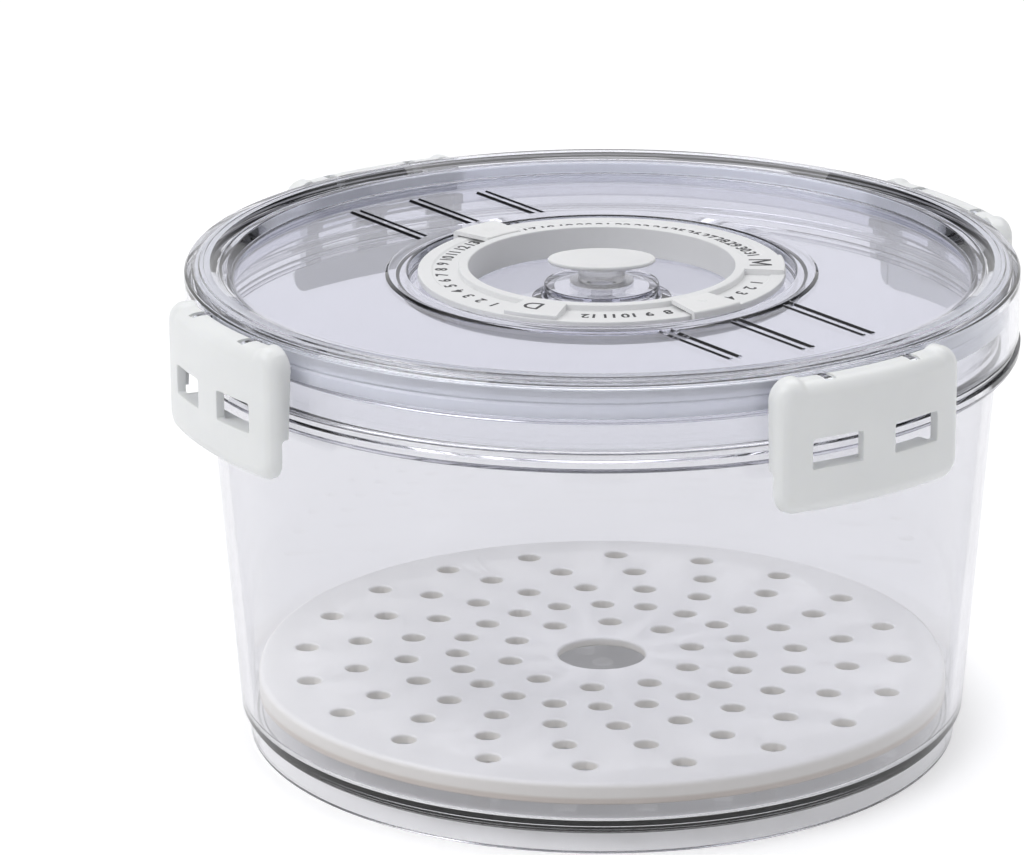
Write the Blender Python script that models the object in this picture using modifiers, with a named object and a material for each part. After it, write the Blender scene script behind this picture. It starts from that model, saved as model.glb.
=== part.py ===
"""Round clear cheese keeper with a drain plate, a date dial, a vent and four hinged latches.

Metres, +Z up. The origin is the centre of the foot ring's underside. -Y is the front.
"""
import math

import bmesh
import bpy
from mathutils import Matrix, Vector

# Gaps that meshes which touch on the real object keep here
SEAT_GAP = 0.0003
SLIDE_GAP = 0.0004
OVERRUN = 0.002
WELD = 0.00001
SLIVER = 0.00004

# Tub: a clear tapered bowl on a foot ring, with a flange below its rim
TUB_RADIUS = 0.0857
WALL_TAPER = 0.0058
TUB_WALL = 0.0025
FOOT_INSET = 0.0019
FOOT_HEIGHT = 0.0047
FOOT_WALL = 0.0022
CORNER_HEIGHT = 0.0030
FLOOR_THICKNESS = 0.0024
FLOOR_FILLET = 0.0040
FLANGE_UNDERSIDE = 0.0873
FLANGE_THICKNESS = 0.0039
FLANGE_OVERHANG = 0.0003
FLANGE_STEP = 0.0006
FLANGE_UPPER_TIER_SHARE = 0.3
FLANGE_LOWER_TIER_SHARE = 0.25
NECK_HEIGHT = 0.0066
EDGE_BREAK = 0.0004

# Lid: skirt, raised double rim, recessed top, bead, dial channel and well
SEAL_WIDTH = 0.0022
SKIRT_WALL = 0.0021
SKIRT_HEIGHT = 0.0134
SHOULDER_DROP = 0.0010
CROWN_RISE = 0.0018
CROWN_INSET = 0.0034
CROWN_SLOPE = 0.0026
LEDGE_WIDTH = 0.0013
LEDGE_HEIGHT = 0.0025
RIM_DRAFT = 0.0004
LID_PLATE = 0.0021
CHANNEL_ROOF = 0.0021
PLUG_GAP = 0.0006
PLUG_WALL = 0.0021
PLUG_DEPTH = 0.0053
BEAD_WIDTH = 0.0047
BEAD_RISE = 0.0005
DIAL_CHANNEL_DEPTH = 0.0026
WELL_DEPTH = 0.0054
SEAT_RIDGE_WIDTH = 0.0022

# Stiffening bars moulded on the lid's top, three on each side of the dial
BAR_WIDTH = 0.0028
BAR_RISE = 0.0005
BAR_PITCH = 0.0160
BARS_PER_SIDE = 3
BAR_AZIMUTH = math.radians(-53.0)

# Vent: a soft plug with an oval head, on a platform in the middle of the well
PLATFORM_RADIUS = 0.0124
PLATFORM_HEIGHT = 0.0028
PLATFORM_FLARE = 0.0026
PLATFORM_ROUND = 0.0007
VENT_HOLE_RADIUS = 0.0026
VENT_HEAD_WIDTH = 0.0232
VENT_HEAD_DEPTH = 0.0152
VENT_HEAD_THICKNESS = 0.0014
VENT_NECK_HEIGHT = 0.0041
VENT_NECK_RADIUS = 0.0052
VENT_SKIRT_RADIUS = 0.0070
VENT_SKIRT_HEIGHT = 0.0010
VENT_BULB_RADIUS = 0.0038
VENT_BULB_HEIGHT = 0.0022
VENT_TRAVEL = 0.0030
VENT_ROUND = 0.0005

# Date dial and its two sliding markers
DIAL_BORE_RADIUS = 0.0288
DIAL_SLEEVE_WALL = 0.0018
DIAL_LIP_WIDTH = 0.0022
DIAL_LIP_RISE = 0.0013
DIAL_FLOOR_WIDTH = 0.0054
DIAL_EDGE_WIDTH = 0.0033
DIAL_EDGE_RISE = 0.0003
DIAL_FLANGE = 0.0012
DIAL_ROUND = 0.0003
LETTER_BLOCK_SPREAD = math.radians(17.4)
MONTH_LETTER_AZIMUTH = math.radians(1.0)
NUMERAL_STEP = math.radians(7.0)
LETTER_GAP = math.radians(18.25)
MONTHS = 12
MARKER_SPREAD = math.radians(17.0)
MARKER_RISE = 0.0002
MARKER_LEG = 0.0012
MARKER_TOE = 0.0013
MARKER_TOE_THICKNESS = 0.0009
MARKER_DIMPLE_RADIUS = 0.0016
MARKER_DIMPLE_DEPTH = 0.0005
DIMPLE_MOUTH_SHARE = 1.75
DIMPLE_POINT_SHARE = 0.25
DAY_MARKER_AZIMUTH = math.radians(134.0)
MONTH_MARKER_AZIMUTH = math.radians(-53.5)

# Drain plate: 90 holes on five rings, each ring turned a little from the last
PLATE_GAP = 0.0017
PLATE_RIM_HEIGHT = 0.0030
PLATE_THICKNESS = 0.0020
PLATE_RIM_WALL = 0.0018
PLATE_ROUND = 0.0010
PLATE_STANDOFF = 0.0052
PLATE_FINGER_RADIUS = 0.0097
DRAIN_HOLE_RADIUS = 0.0026
DRAIN_INNER_LAND = 0.0109
DRAIN_OUTER_LAND = 0.0103
DRAIN_HOLES_PER_RING = (10, 20, 20, 20, 20)
DRAIN_FIRST_AZIMUTH = math.radians(84.45)
DRAIN_RING_TWIST = math.radians(5.15)
PLATE_PEG_RADIUS = 0.0020
PLATE_PEGS = 6
FIRST_PEG_AZIMUTH = math.radians(5.0)

# Latches: curved flaps that hang from a hinge bar at the lid's edge, in two opposite pairs
LATCH_COUNT = 4
FIRST_LATCH_AZIMUTH = math.radians(-54.4)
LATCH_PAIR_SPREAD = math.radians(86.2)
LATCH_WIDTH = 0.0474
LATCH_SKIN = 0.0030
LATCH_STANDOFF = 0.0063
LATCH_DROP = 0.0261
LATCH_CORNER = 0.0040
LATCH_EDGE_ROUND = 0.0018
HINGE_OUTSET = 0.0020
HINGE_DROP = 0.0014
HINGE_BAR_RADIUS = 0.00155
HINGE_PIN_RADIUS = 0.0009
KNUCKLE_RADIUS = 0.0024
KNUCKLE_WIDTH = 0.0050
KNUCKLE_SET_BACK = 0.0010
CLAW_WIDTH = 0.0030
CLAW_PLACE = 0.0108
CLAW_WALL = 0.0007
CLAW_MOUTH_DEGREES = 38.0
CLAW_NOSE_DEGREES = 60.0
WINDOW_WIDTH = 0.0118
WINDOW_HEIGHT = 0.0062
WINDOW_CORNER = 0.0009
WINDOW_MULLION = 0.0084
HOOK_THICKNESS = 0.0024
HOOK_DIP = 0.00055
CHEEK_WALL = 0.0022
CHEEK_DEPTH = 0.0024
CHEEK_TAPER = 0.0012

TURN_STEPS = 40
SMALL_TURN_STEPS = 20
RIM_ARC_DEGREES = 50.0
CORNER_ANGLE = math.radians(45.0)
FLAT_ANGLE = math.radians(0.6)
SHADE_ANGLE = math.radians(35.0)

# Heights and radii worked out from the sizes above
floor_top = FOOT_HEIGHT + FLOOR_THICKNESS
corner_top = FOOT_HEIGHT + CORNER_HEIGHT
wall_low_radius = TUB_RADIUS - WALL_TAPER
foot_radius = wall_low_radius - FOOT_INSET
wall_slope = WALL_TAPER / (FLANGE_UNDERSIDE - corner_top)
lid_radius = TUB_RADIUS + SEAL_WIDTH + SKIRT_WALL
flange_top = FLANGE_UNDERSIDE + FLANGE_THICKNESS
flange_radius = lid_radius + FLANGE_OVERHANG
rim_top = flange_top + NECK_HEIGHT
neck_inner_radius = TUB_RADIUS - TUB_WALL

skirt_bottom = flange_top + SEAT_GAP
shoulder = skirt_bottom + SKIRT_HEIGHT
crown = shoulder + CROWN_RISE
skirt_inner_radius = lid_radius - SKIRT_WALL
channel_roof = crown - CHANNEL_ROOF
plug_outer_radius = neck_inner_radius - PLUG_GAP
plug_inner_radius = plug_outer_radius - PLUG_WALL
lid_top = shoulder - LEDGE_HEIGHT + SHOULDER_DROP - EDGE_BREAK
lid_underside = lid_top - LID_PLATE
ledge = lid_top + LEDGE_HEIGHT

dial_sleeve_radius = DIAL_BORE_RADIUS + DIAL_SLEEVE_WALL
dial_lip_radius = DIAL_BORE_RADIUS + DIAL_LIP_WIDTH
dial_floor_radius = dial_lip_radius + DIAL_FLOOR_WIDTH
dial_radius = dial_floor_radius + DIAL_EDGE_WIDTH
well_radius = dial_sleeve_radius + SLIDE_GAP
seat_ridge_radius = well_radius + SEAT_RIDGE_WIDTH
marker_leg_inner = dial_radius + SEAT_GAP
marker_radius = marker_leg_inner + MARKER_LEG
collar_inner_radius = marker_radius + SLIDE_GAP + EDGE_BREAK
bead_radius = collar_inner_radius + BEAD_WIDTH
bead_top = lid_top + BEAD_RISE
dial_channel_floor = lid_top - DIAL_CHANNEL_DEPTH
well_floor = lid_top - WELL_DEPTH
marker_toe_top = dial_channel_floor + SLIDE_GAP + MARKER_TOE_THICKNESS
dial_flange_underside = marker_toe_top + SLIDE_GAP
seat_ridge_top = dial_flange_underside - SEAT_GAP
dial_floor = dial_flange_underside + DIAL_FLANGE
dial_lip = dial_floor + DIAL_LIP_RISE
dial_edge = dial_floor + DIAL_EDGE_RISE

platform_top = well_floor + PLATFORM_HEIGHT
vent_seat = platform_top + SEAT_GAP
well_underside = well_floor - LID_PLATE
platform_underside = platform_top - LID_PLATE
plug_bottom = lid_underside - PLUG_DEPTH

plate_underside = floor_top + PLATE_STANDOFF
plate_top = plate_underside + PLATE_RIM_HEIGHT
plate_web_underside = plate_top - PLATE_THICKNESS


def tub_wall_radius(height):
    """Outer radius of the tub's tapered wall at a height."""
    return wall_low_radius + wall_slope * (height - corner_top)


plate_radius = tub_wall_radius(plate_underside) - TUB_WALL - PLATE_GAP
drain_first_radius = PLATE_FINGER_RADIUS + DRAIN_INNER_LAND
drain_last_radius = plate_radius - DRAIN_OUTER_LAND
drain_pitch = (drain_last_radius - drain_first_radius) / (len(DRAIN_HOLES_PER_RING) - 1)

hinge_radius = lid_radius + HINGE_OUTSET
hinge_height = shoulder - HINGE_DROP
latch_radius = lid_radius + LATCH_STANDOFF
latch_inner_radius = latch_radius - LATCH_SKIN


def clear_scene():
    for item in list(bpy.data.objects):
        bpy.data.objects.remove(item)
    for group in list(bpy.data.collections):
        bpy.data.collections.remove(group)


def new_collection(name):
    group = bpy.data.collections.new(name)
    bpy.context.scene.collection.children.link(group)
    return group


def material(name, colour, roughness, metallic=0.0, transmission=0.0, ior=1.5):
    finish = bpy.data.materials.new(name)
    finish.use_nodes = True
    shader = finish.node_tree.nodes["Principled BSDF"]
    shader.inputs["Base Color"].default_value = (*colour, 1.0)
    shader.inputs["Roughness"].default_value = roughness
    shader.inputs["Metallic"].default_value = metallic
    shader.inputs["Transmission Weight"].default_value = transmission
    shader.inputs["IOR"].default_value = ior
    return finish


def new_object(name, mesh, group, finish=None):
    item = bpy.data.objects.new(name, mesh)
    group.objects.link(item)
    if finish is not None:
        mesh.materials.append(finish)
    return item


def hide_tool(item):
    """Mark an object as a cutter or a shape that is joined to another."""
    item.hide_render = True
    item.display_type = 'WIRE'


def arc(centre_x, centre_z, radius_x, radius_z, start, end, steps):
    """Points on a quarter or other share of an ellipse, angles in degrees."""
    points = []
    for step in range(steps + 1):
        angle = math.radians(start + (end - start) * step / steps)
        points.append((centre_x + radius_x * math.cos(angle), centre_z + radius_z * math.sin(angle)))
    return points


def turned(name, points, group, finish=None, closed=True, steps=TURN_STEPS):
    """Turn a profile of radius and height about the Z axis."""
    mesh = bpy.data.meshes.new(name)
    shape = bmesh.new()
    verts = [shape.verts.new((x, 0.0, z)) for x, z in points]
    for first, second in zip(verts, verts[1:]):
        shape.edges.new((first, second))
    if closed:
        shape.edges.new((verts[-1], verts[0]))
    shape.to_mesh(mesh)
    shape.free()
    item = new_object(name, mesh, group, finish)
    screw = item.modifiers.new("Turn", 'SCREW')
    screw.axis = 'Z'
    screw.angle = math.tau
    screw.steps = steps
    screw.render_steps = steps
    screw.use_merge_vertices = True
    screw.merge_threshold = WELD
    screw.use_smooth_shade = True
    return item


def boolean(item, tool, operation, label):
    cut = item.modifiers.new(label, 'BOOLEAN')
    cut.operation = operation
    cut.solver = 'EXACT'
    cut.object = tool


def outline_solid(name, points, depth):
    """Extrude a closed outline along Z, with its middle plane at zero, and return a bmesh."""
    curve = bpy.data.curves.new(name, 'CURVE')
    curve.dimensions = '2D'
    curve.fill_mode = 'BOTH'
    curve.extrude = depth / 2
    spline = curve.splines.new('POLY')
    spline.points.add(len(points) - 1)
    for point, (x, y) in zip(spline.points, points):
        point.co = (x, y, 0.0, 1.0)
    spline.use_cyclic_u = True
    holder = bpy.data.objects.new(name, curve)
    bpy.context.scene.collection.objects.link(holder)
    graph = bpy.context.evaluated_depsgraph_get()
    mesh = bpy.data.meshes.new_from_object(holder.evaluated_get(graph))
    shape = bmesh.new()
    shape.from_mesh(mesh)
    bmesh.ops.remove_doubles(shape, verts=shape.verts, dist=WELD)
    bmesh.ops.recalc_face_normals(shape, faces=shape.faces)
    bpy.data.objects.remove(holder)
    bpy.data.meshes.remove(mesh)
    return shape


def rounded_rectangle(left, right, bottom, top, radius, steps):
    points = []
    for x, z, start in ((right - radius, top - radius, 0), (left + radius, top - radius, 90),
                        (left + radius, bottom + radius, 180), (right - radius, bottom + radius, 270)):
        points += arc(x, z, radius, radius, start, start + 90, steps)
    return points


def slice_along(shape, axis, start, end, count):
    """Cut a shape with evenly spaced planes, so that it can bend along an axis."""
    normal = Vector((0.0, 0.0, 0.0))
    normal[axis] = 1.0
    for step in range(1, count):
        place = Vector((0.0, 0.0, 0.0))
        place[axis] = start + (end - start) * step / count
        geometry = shape.verts[:] + shape.edges[:] + shape.faces[:]
        bmesh.ops.bisect_plane(shape, geom=geometry, plane_co=place, plane_no=normal, dist=WELD)


def finish_mesh(shape, name):
    bmesh.ops.triangulate(shape, faces=[face for face in shape.faces if len(face.verts) > 4])
    bmesh.ops.recalc_face_normals(shape, faces=shape.faces)
    mesh = bpy.data.meshes.new(name)
    shape.to_mesh(mesh)
    shape.free()
    return mesh


def tidy_mesh(mesh):
    """Merge the slivers that joined surfaces leave where they cross at a shallow angle."""
    shape = bmesh.new()
    shape.from_mesh(mesh)
    bmesh.ops.remove_doubles(shape, verts=shape.verts, dist=SLIVER)
    bmesh.ops.dissolve_degenerate(shape, edges=shape.edges, dist=WELD)
    bmesh.ops.dissolve_limit(shape, angle_limit=FLAT_ANGLE, verts=shape.verts, edges=shape.edges)
    bmesh.ops.triangulate(shape, faces=shape.faces)
    shape.to_mesh(mesh)
    shape.free()


def arc_sweep(name, points, spread, count):
    """Sweep a profile of radius and height about Z through an angle centred on +X."""
    shape = outline_solid(name, points, spread)
    slice_along(shape, 2, -spread / 2, spread / 2, count)
    for vert in shape.verts:
        radius, height, angle = vert.co
        vert.co = (radius * math.cos(angle), radius * math.sin(angle), height)
    return finish_mesh(shape, name)


def wrapped_panel(name, points, inner_radius, outer_radius, face_round, count):
    """Wrap a flat outline of arc length and height round the Z axis, with its outer edge rounded."""
    depth = outer_radius - inner_radius
    shape = outline_solid(name, points, depth)
    if face_round > 0.0:
        outer_edges = []
        for edge in shape.edges:
            if all(vert.co.z > depth / 2 - WELD for vert in edge.verts):
                if edge.calc_face_angle(0.0) > CORNER_ANGLE:
                    outer_edges.append(edge)
        bmesh.ops.bevel(shape, geom=outer_edges, offset=face_round, segments=2, profile=0.5, affect='EDGES')
    widths = [vert.co.x for vert in shape.verts]
    slice_along(shape, 0, min(widths), max(widths), count)
    for vert in shape.verts:
        along, height, out = vert.co
        radius = inner_radius + depth / 2 + out
        angle = along / outer_radius
        vert.co = (radius * math.cos(angle), radius * math.sin(angle), height)
    return finish_mesh(shape, name)


def rod(name, radius, start, end, group, sides=8, centre_x=0.0):
    """A cylinder along Y between two places, with its axis through a point on the X axis."""
    shape = bmesh.new()
    place = Matrix.Translation((centre_x, (start + end) / 2, 0.0)) @ Matrix.Rotation(math.pi / 2, 4, 'X')
    bmesh.ops.create_cone(shape, cap_ends=True, segments=sides, radius1=radius, radius2=radius,
                          depth=abs(end - start), matrix=place)
    return new_object(name, finish_mesh(shape, name), group)


def block(name, low, high, group):
    """A box between two corners."""
    shape = bmesh.new()
    low = Vector(low)
    high = Vector(high)
    size = high - low
    place = Matrix.Translation((low + high) / 2) @ Matrix.Diagonal((*size, 1.0))
    bmesh.ops.create_cube(shape, size=1.0, matrix=place)
    return new_object(name, finish_mesh(shape, name), group)


def joined(name, pieces, group):
    """Gather several tool objects into one, each at its own place."""
    shape = bmesh.new()
    for piece in pieces:
        copy = piece.data.copy()
        copy.transform(piece.matrix_basis)
        shape.from_mesh(copy)
        bpy.data.meshes.remove(copy)
    for piece in pieces:
        bpy.data.objects.remove(piece)
    mesh = bpy.data.meshes.new(name)
    shape.to_mesh(mesh)
    shape.free()
    item = new_object(name, mesh, group)
    hide_tool(item)
    return item


def build_tub(group, finish):
    """Clear bowl: floor, filleted corner, tapered wall, flange with a stepped edge, neck and foot ring."""
    fillet_top = floor_top + FLOOR_FILLET
    wall_inner = tub_wall_radius(fillet_top) - TUB_WALL
    upper_tier = flange_top - FLANGE_THICKNESS * FLANGE_UPPER_TIER_SHARE
    lower_tier = FLANGE_UNDERSIDE + FLANGE_THICKNESS * FLANGE_LOWER_TIER_SHARE
    profile = [(0.0, floor_top)]
    profile += arc(wall_inner - FLOOR_FILLET, fillet_top, FLOOR_FILLET, FLOOR_FILLET, -90, 0, 3)
    profile += [
        (neck_inner_radius, FLANGE_UNDERSIDE),
        (neck_inner_radius, rim_top - EDGE_BREAK),
        (neck_inner_radius + EDGE_BREAK, rim_top),
        (TUB_RADIUS - EDGE_BREAK, rim_top),
        (TUB_RADIUS, rim_top - EDGE_BREAK),
        (TUB_RADIUS, flange_top),
        (flange_radius - FLANGE_STEP, flange_top),
        (flange_radius - FLANGE_STEP, upper_tier),
        (flange_radius, upper_tier - EDGE_BREAK / 2),
        (flange_radius, lower_tier),
        (flange_radius - FLANGE_STEP, lower_tier - EDGE_BREAK / 2),
        (flange_radius - FLANGE_STEP, FLANGE_UNDERSIDE),
        (TUB_RADIUS, FLANGE_UNDERSIDE),
    ]
    profile += arc(foot_radius, corner_top, FOOT_INSET, CORNER_HEIGHT, 0, -90, 3)
    profile += [
        (foot_radius, EDGE_BREAK),
        (foot_radius - EDGE_BREAK, 0.0),
        (foot_radius - FOOT_WALL, 0.0),
        (foot_radius - FOOT_WALL, FOOT_HEIGHT),
        (0.0, FOOT_HEIGHT),
    ]
    return turned("tub", profile, group, finish, closed=False)


def lid_profile():
    """Radius and height of the lid's section, from the vent hole over the top and back under."""
    rim_inner = plug_inner_radius - RIM_DRAFT
    top = [
        (VENT_HOLE_RADIUS, platform_top),
        (PLATFORM_RADIUS - PLATFORM_ROUND, platform_top),
        (PLATFORM_RADIUS, platform_top - PLATFORM_ROUND),
        (PLATFORM_RADIUS, well_floor + PLATFORM_FLARE / 2),
        (PLATFORM_RADIUS + PLATFORM_FLARE, well_floor),
        (well_radius, well_floor),
        (well_radius, seat_ridge_top),
        (seat_ridge_radius, seat_ridge_top),
        (seat_ridge_radius, dial_channel_floor),
        (collar_inner_radius, dial_channel_floor),
        (collar_inner_radius, bead_top),
        (bead_radius - EDGE_BREAK, bead_top),
        (bead_radius, lid_top),
        (rim_inner, lid_top),
        (rim_inner + RIM_DRAFT, ledge),
        (rim_inner + RIM_DRAFT + LEDGE_WIDTH, ledge),
        (rim_inner + RIM_DRAFT + LEDGE_WIDTH + CROWN_SLOPE, crown),
        (lid_radius - CROWN_INSET, crown),
    ]
    shoulder_low = shoulder - SHOULDER_DROP
    top += arc(lid_radius - CROWN_INSET, shoulder_low, CROWN_INSET, crown - shoulder_low, RIM_ARC_DEGREES, 0, 2)
    under = [
        (lid_radius, skirt_bottom),
        (skirt_inner_radius, skirt_bottom),
        (skirt_inner_radius, channel_roof),
        (plug_outer_radius, channel_roof),
        (plug_outer_radius, plug_bottom),
        (plug_inner_radius, plug_bottom),
        (plug_inner_radius, lid_underside),
        (collar_inner_radius + LID_PLATE, lid_underside),
        (collar_inner_radius + LID_PLATE, dial_channel_floor - LID_PLATE),
        (well_radius + LID_PLATE, dial_channel_floor - LID_PLATE),
        (well_radius + LID_PLATE, well_underside),
        (PLATFORM_RADIUS + PLATFORM_FLARE, well_underside),
        (PLATFORM_RADIUS - LID_PLATE, platform_underside),
        (VENT_HOLE_RADIUS, platform_underside),
    ]
    return top + under


def lid_bars(group):
    """Raised bars that run from the bead to the rim, all side by side in one direction."""
    pieces = []
    reach = plug_inner_radius + RIM_DRAFT
    for side in (0, 1):
        for index in range(BARS_PER_SIDE):
            offset = (index - (BARS_PER_SIDE - 1) / 2) * BAR_PITCH
            start = math.sqrt((bead_radius - BEAD_WIDTH / 2) ** 2 - offset ** 2)
            end = math.sqrt(reach ** 2 - (abs(offset) + BAR_WIDTH / 2) ** 2)
            low = (start, offset - BAR_WIDTH / 2, lid_top - LID_PLATE / 2)
            high = (end, offset + BAR_WIDTH / 2, lid_top + BAR_RISE)
            bar = block(f"bar_{side}_{index}", low, high, group)
            bar.matrix_basis = Matrix.Rotation(BAR_AZIMUTH + math.pi * side, 4, 'Z')
            pieces.append(bar)
    return joined("lid_bars", pieces, group)


def latch_azimuth(index):
    """Direction of a latch: the second and fourth stand beside the first and third."""
    return FIRST_LATCH_AZIMUTH + math.pi * (index // 2) + LATCH_PAIR_SPREAD * (index % 2)


def hinge_matrix(index):
    """Place of a latch's hinge: X points out of the lid and Y runs along the hinge."""
    angle = latch_azimuth(index)
    return Matrix.Rotation(angle, 4, 'Z') @ Matrix.Translation((hinge_radius, 0.0, hinge_height))


def lid_claws(group):
    """Open claws on the skirt that hold the hinge pins of every latch."""
    hole_radius = HINGE_PIN_RADIUS + SEAT_GAP
    outer_radius = hole_radius + CLAW_WALL
    near_side = CLAW_PLACE - CLAW_WIDTH / 2
    root = math.sqrt(lid_radius ** 2 - (near_side + CLAW_WIDTH) ** 2) - hinge_radius - SKIRT_WALL / 2
    outline = [(0.0, -outer_radius), (root, -outer_radius), (root, outer_radius), (0.0, outer_radius)]
    mouth = CLAW_MOUTH_DEGREES
    nose = CLAW_NOSE_DEGREES
    outline += arc(0.0, 0.0, outer_radius, outer_radius, nose, mouth, 1)
    outline += arc(0.0, 0.0, hole_radius, hole_radius, mouth, 360 - mouth, 7)
    outline += arc(0.0, 0.0, outer_radius, outer_radius, -mouth, -nose, 1)
    outline.reverse()
    pieces = []
    for index in range(LATCH_COUNT):
        for side in (-1, 1):
            shape = outline_solid("claw", outline, CLAW_WIDTH)
            upright = Matrix.Rotation(math.pi / 2, 4, 'X')
            bmesh.ops.transform(shape, matrix=upright, verts=shape.verts)
            claw = new_object("claw", finish_mesh(shape, "claw"), group)
            claw.matrix_basis = hinge_matrix(index) @ Matrix.Translation((0.0, side * CLAW_PLACE, 0.0))
            pieces.append(claw)
    return joined("lid_claws", pieces, group)


def build_lid(group, tools, finish):
    lid = turned("lid", lid_profile(), group, finish)
    boolean(lid, lid_bars(tools), 'UNION', "Bars")
    boolean(lid, lid_claws(tools), 'UNION', "Claws")
    return lid


def build_seal(group, finish):
    """Soft ring in the lid's channel that the tub's rim presses up against."""
    inner = plug_outer_radius + SEAT_GAP
    outer = skirt_inner_radius - SEAT_GAP
    top = channel_roof - SEAT_GAP
    bottom = rim_top + SEAT_GAP
    profile = [
        (inner + EDGE_BREAK, top),
        (outer, top),
        (outer, bottom),
        (inner, bottom),
        (inner, top - EDGE_BREAK),
    ]
    return turned("lid_seal", profile, group, finish)


def build_dial(group, tools, finish):
    """White ring: sleeve in the well, raised lip, numeral floor, low outer rim and two letter blocks."""
    profile = [
        (DIAL_BORE_RADIUS + DIAL_ROUND, dial_lip),
        (dial_lip_radius - DIAL_ROUND, dial_lip),
        (dial_lip_radius, dial_lip - DIAL_ROUND),
        (dial_lip_radius, dial_floor),
        (dial_floor_radius, dial_floor),
        (dial_floor_radius + DIAL_ROUND, dial_edge),
        (dial_radius, dial_edge),
        (dial_radius, dial_flange_underside),
        (dial_sleeve_radius, dial_flange_underside),
        (dial_sleeve_radius, well_floor + SEAT_GAP),
        (DIAL_BORE_RADIUS, well_floor + SEAT_GAP),
        (DIAL_BORE_RADIUS, dial_lip - DIAL_ROUND),
    ]
    dial = turned("date_ring", profile, group, finish)
    low = dial_flange_underside + DIAL_FLANGE / 2
    inner = dial_lip_radius - DIAL_LIP_WIDTH / 2
    outer = dial_radius - DIAL_ROUND / 2
    section = [(inner, low), (outer, low), (outer, dial_lip - DIAL_ROUND), (outer - DIAL_ROUND, dial_lip),
               (inner, dial_lip)]
    day_letter = MONTH_LETTER_AZIMUTH - 2 * LETTER_GAP - (MONTHS - 1) * NUMERAL_STEP
    pieces = []
    for azimuth in (MONTH_LETTER_AZIMUTH, day_letter):
        piece = new_object("letter_block", arc_sweep("letter_block", section, LETTER_BLOCK_SPREAD, 4), tools)
        piece.matrix_basis = Matrix.Rotation(azimuth, 4, 'Z')
        pieces.append(piece)
    boolean(dial, joined("letter_blocks", pieces, tools), 'UNION', "Letter blocks")
    return dial


def marker_mesh():
    """Section of a marker: a top that bridges the numerals and a leg with a toe under the dial's edge."""
    inner = dial_lip_radius + SEAT_GAP
    top = dial_lip + MARKER_RISE
    under = dial_edge + SEAT_GAP
    toe_bottom = marker_toe_top - MARKER_TOE_THICKNESS
    section = [
        (inner, under),
        (marker_leg_inner, under),
        (marker_leg_inner, marker_toe_top),
        (marker_leg_inner - MARKER_TOE, marker_toe_top),
        (marker_leg_inner - MARKER_TOE, toe_bottom),
        (marker_radius, toe_bottom),
        (marker_radius, top - 2 * DIAL_ROUND),
        (marker_radius - 2 * DIAL_ROUND, top),
        (inner, top),
    ]
    return arc_sweep("marker", section, MARKER_SPREAD, 6)


def build_marker(name, azimuth, mesh, group, tools, finish, sides):
    marker = new_object(name, mesh.copy(), group, finish)
    marker.rotation_euler.z = azimuth
    top = dial_lip + MARKER_RISE
    middle = (dial_lip_radius + SEAT_GAP + marker_leg_inner) / 2
    shape = bmesh.new()
    height = 2 * MARKER_DIMPLE_DEPTH
    bmesh.ops.create_cone(shape, cap_ends=True, segments=sides,
                          radius1=MARKER_DIMPLE_RADIUS * DIMPLE_POINT_SHARE,
                          radius2=MARKER_DIMPLE_RADIUS * DIMPLE_MOUTH_SHARE, depth=height,
                          matrix=Matrix.Translation((middle, 0.0, top)))
    dimple = new_object(name + "_dimple", finish_mesh(shape, name + "_dimple"), tools)
    dimple.matrix_basis = Matrix.Rotation(azimuth, 4, 'Z')
    hide_tool(dimple)
    boolean(marker, dimple, 'DIFFERENCE', "Dimple")
    return marker


def build_vent(group, tools, finish):
    """Plug: oval head, neck with a skirt that seals on the platform, stem and a bulb that keeps it in."""
    head_top = VENT_NECK_HEIGHT + VENT_HEAD_THICKNESS
    half = VENT_HEAD_WIDTH / 2
    head_profile = [(0.0, head_top)]
    head_profile += arc(half - VENT_ROUND, head_top - VENT_ROUND, VENT_ROUND, VENT_ROUND, 90, 0, 2)
    head_profile += [
        (half, VENT_NECK_HEIGHT + VENT_ROUND),
        (half - VENT_ROUND, VENT_NECK_HEIGHT),
        (0.0, VENT_NECK_HEIGHT),
    ]
    head = turned("vent_head", head_profile, tools, closed=False, steps=SMALL_TURN_STEPS)
    head.location.z = vent_seat
    head.scale.y = VENT_HEAD_DEPTH / VENT_HEAD_WIDTH
    hide_tool(head)

    stem_radius = VENT_HOLE_RADIUS - SEAT_GAP
    neck_top = VENT_NECK_HEIGHT + VENT_HEAD_THICKNESS / 2
    bulb_top = platform_underside - VENT_TRAVEL - vent_seat - SEAT_GAP
    bulb_bottom = bulb_top - VENT_BULB_HEIGHT
    profile = [
        (0.0, neck_top),
        (VENT_NECK_RADIUS, neck_top),
        (VENT_NECK_RADIUS, VENT_SKIRT_HEIGHT),
        (VENT_SKIRT_RADIUS, 0.0),
        (stem_radius, 0.0),
        (stem_radius, bulb_top),
        (VENT_BULB_RADIUS, bulb_top),
        (VENT_BULB_RADIUS, bulb_top - VENT_BULB_HEIGHT / 3),
        (stem_radius, bulb_bottom),
        (0.0, bulb_bottom),
    ]
    vent = turned("vent_plug", profile, group, finish, closed=False, steps=SMALL_TURN_STEPS)
    vent.location.z = vent_seat
    boolean(vent, head, 'UNION', "Head")
    return vent


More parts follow.
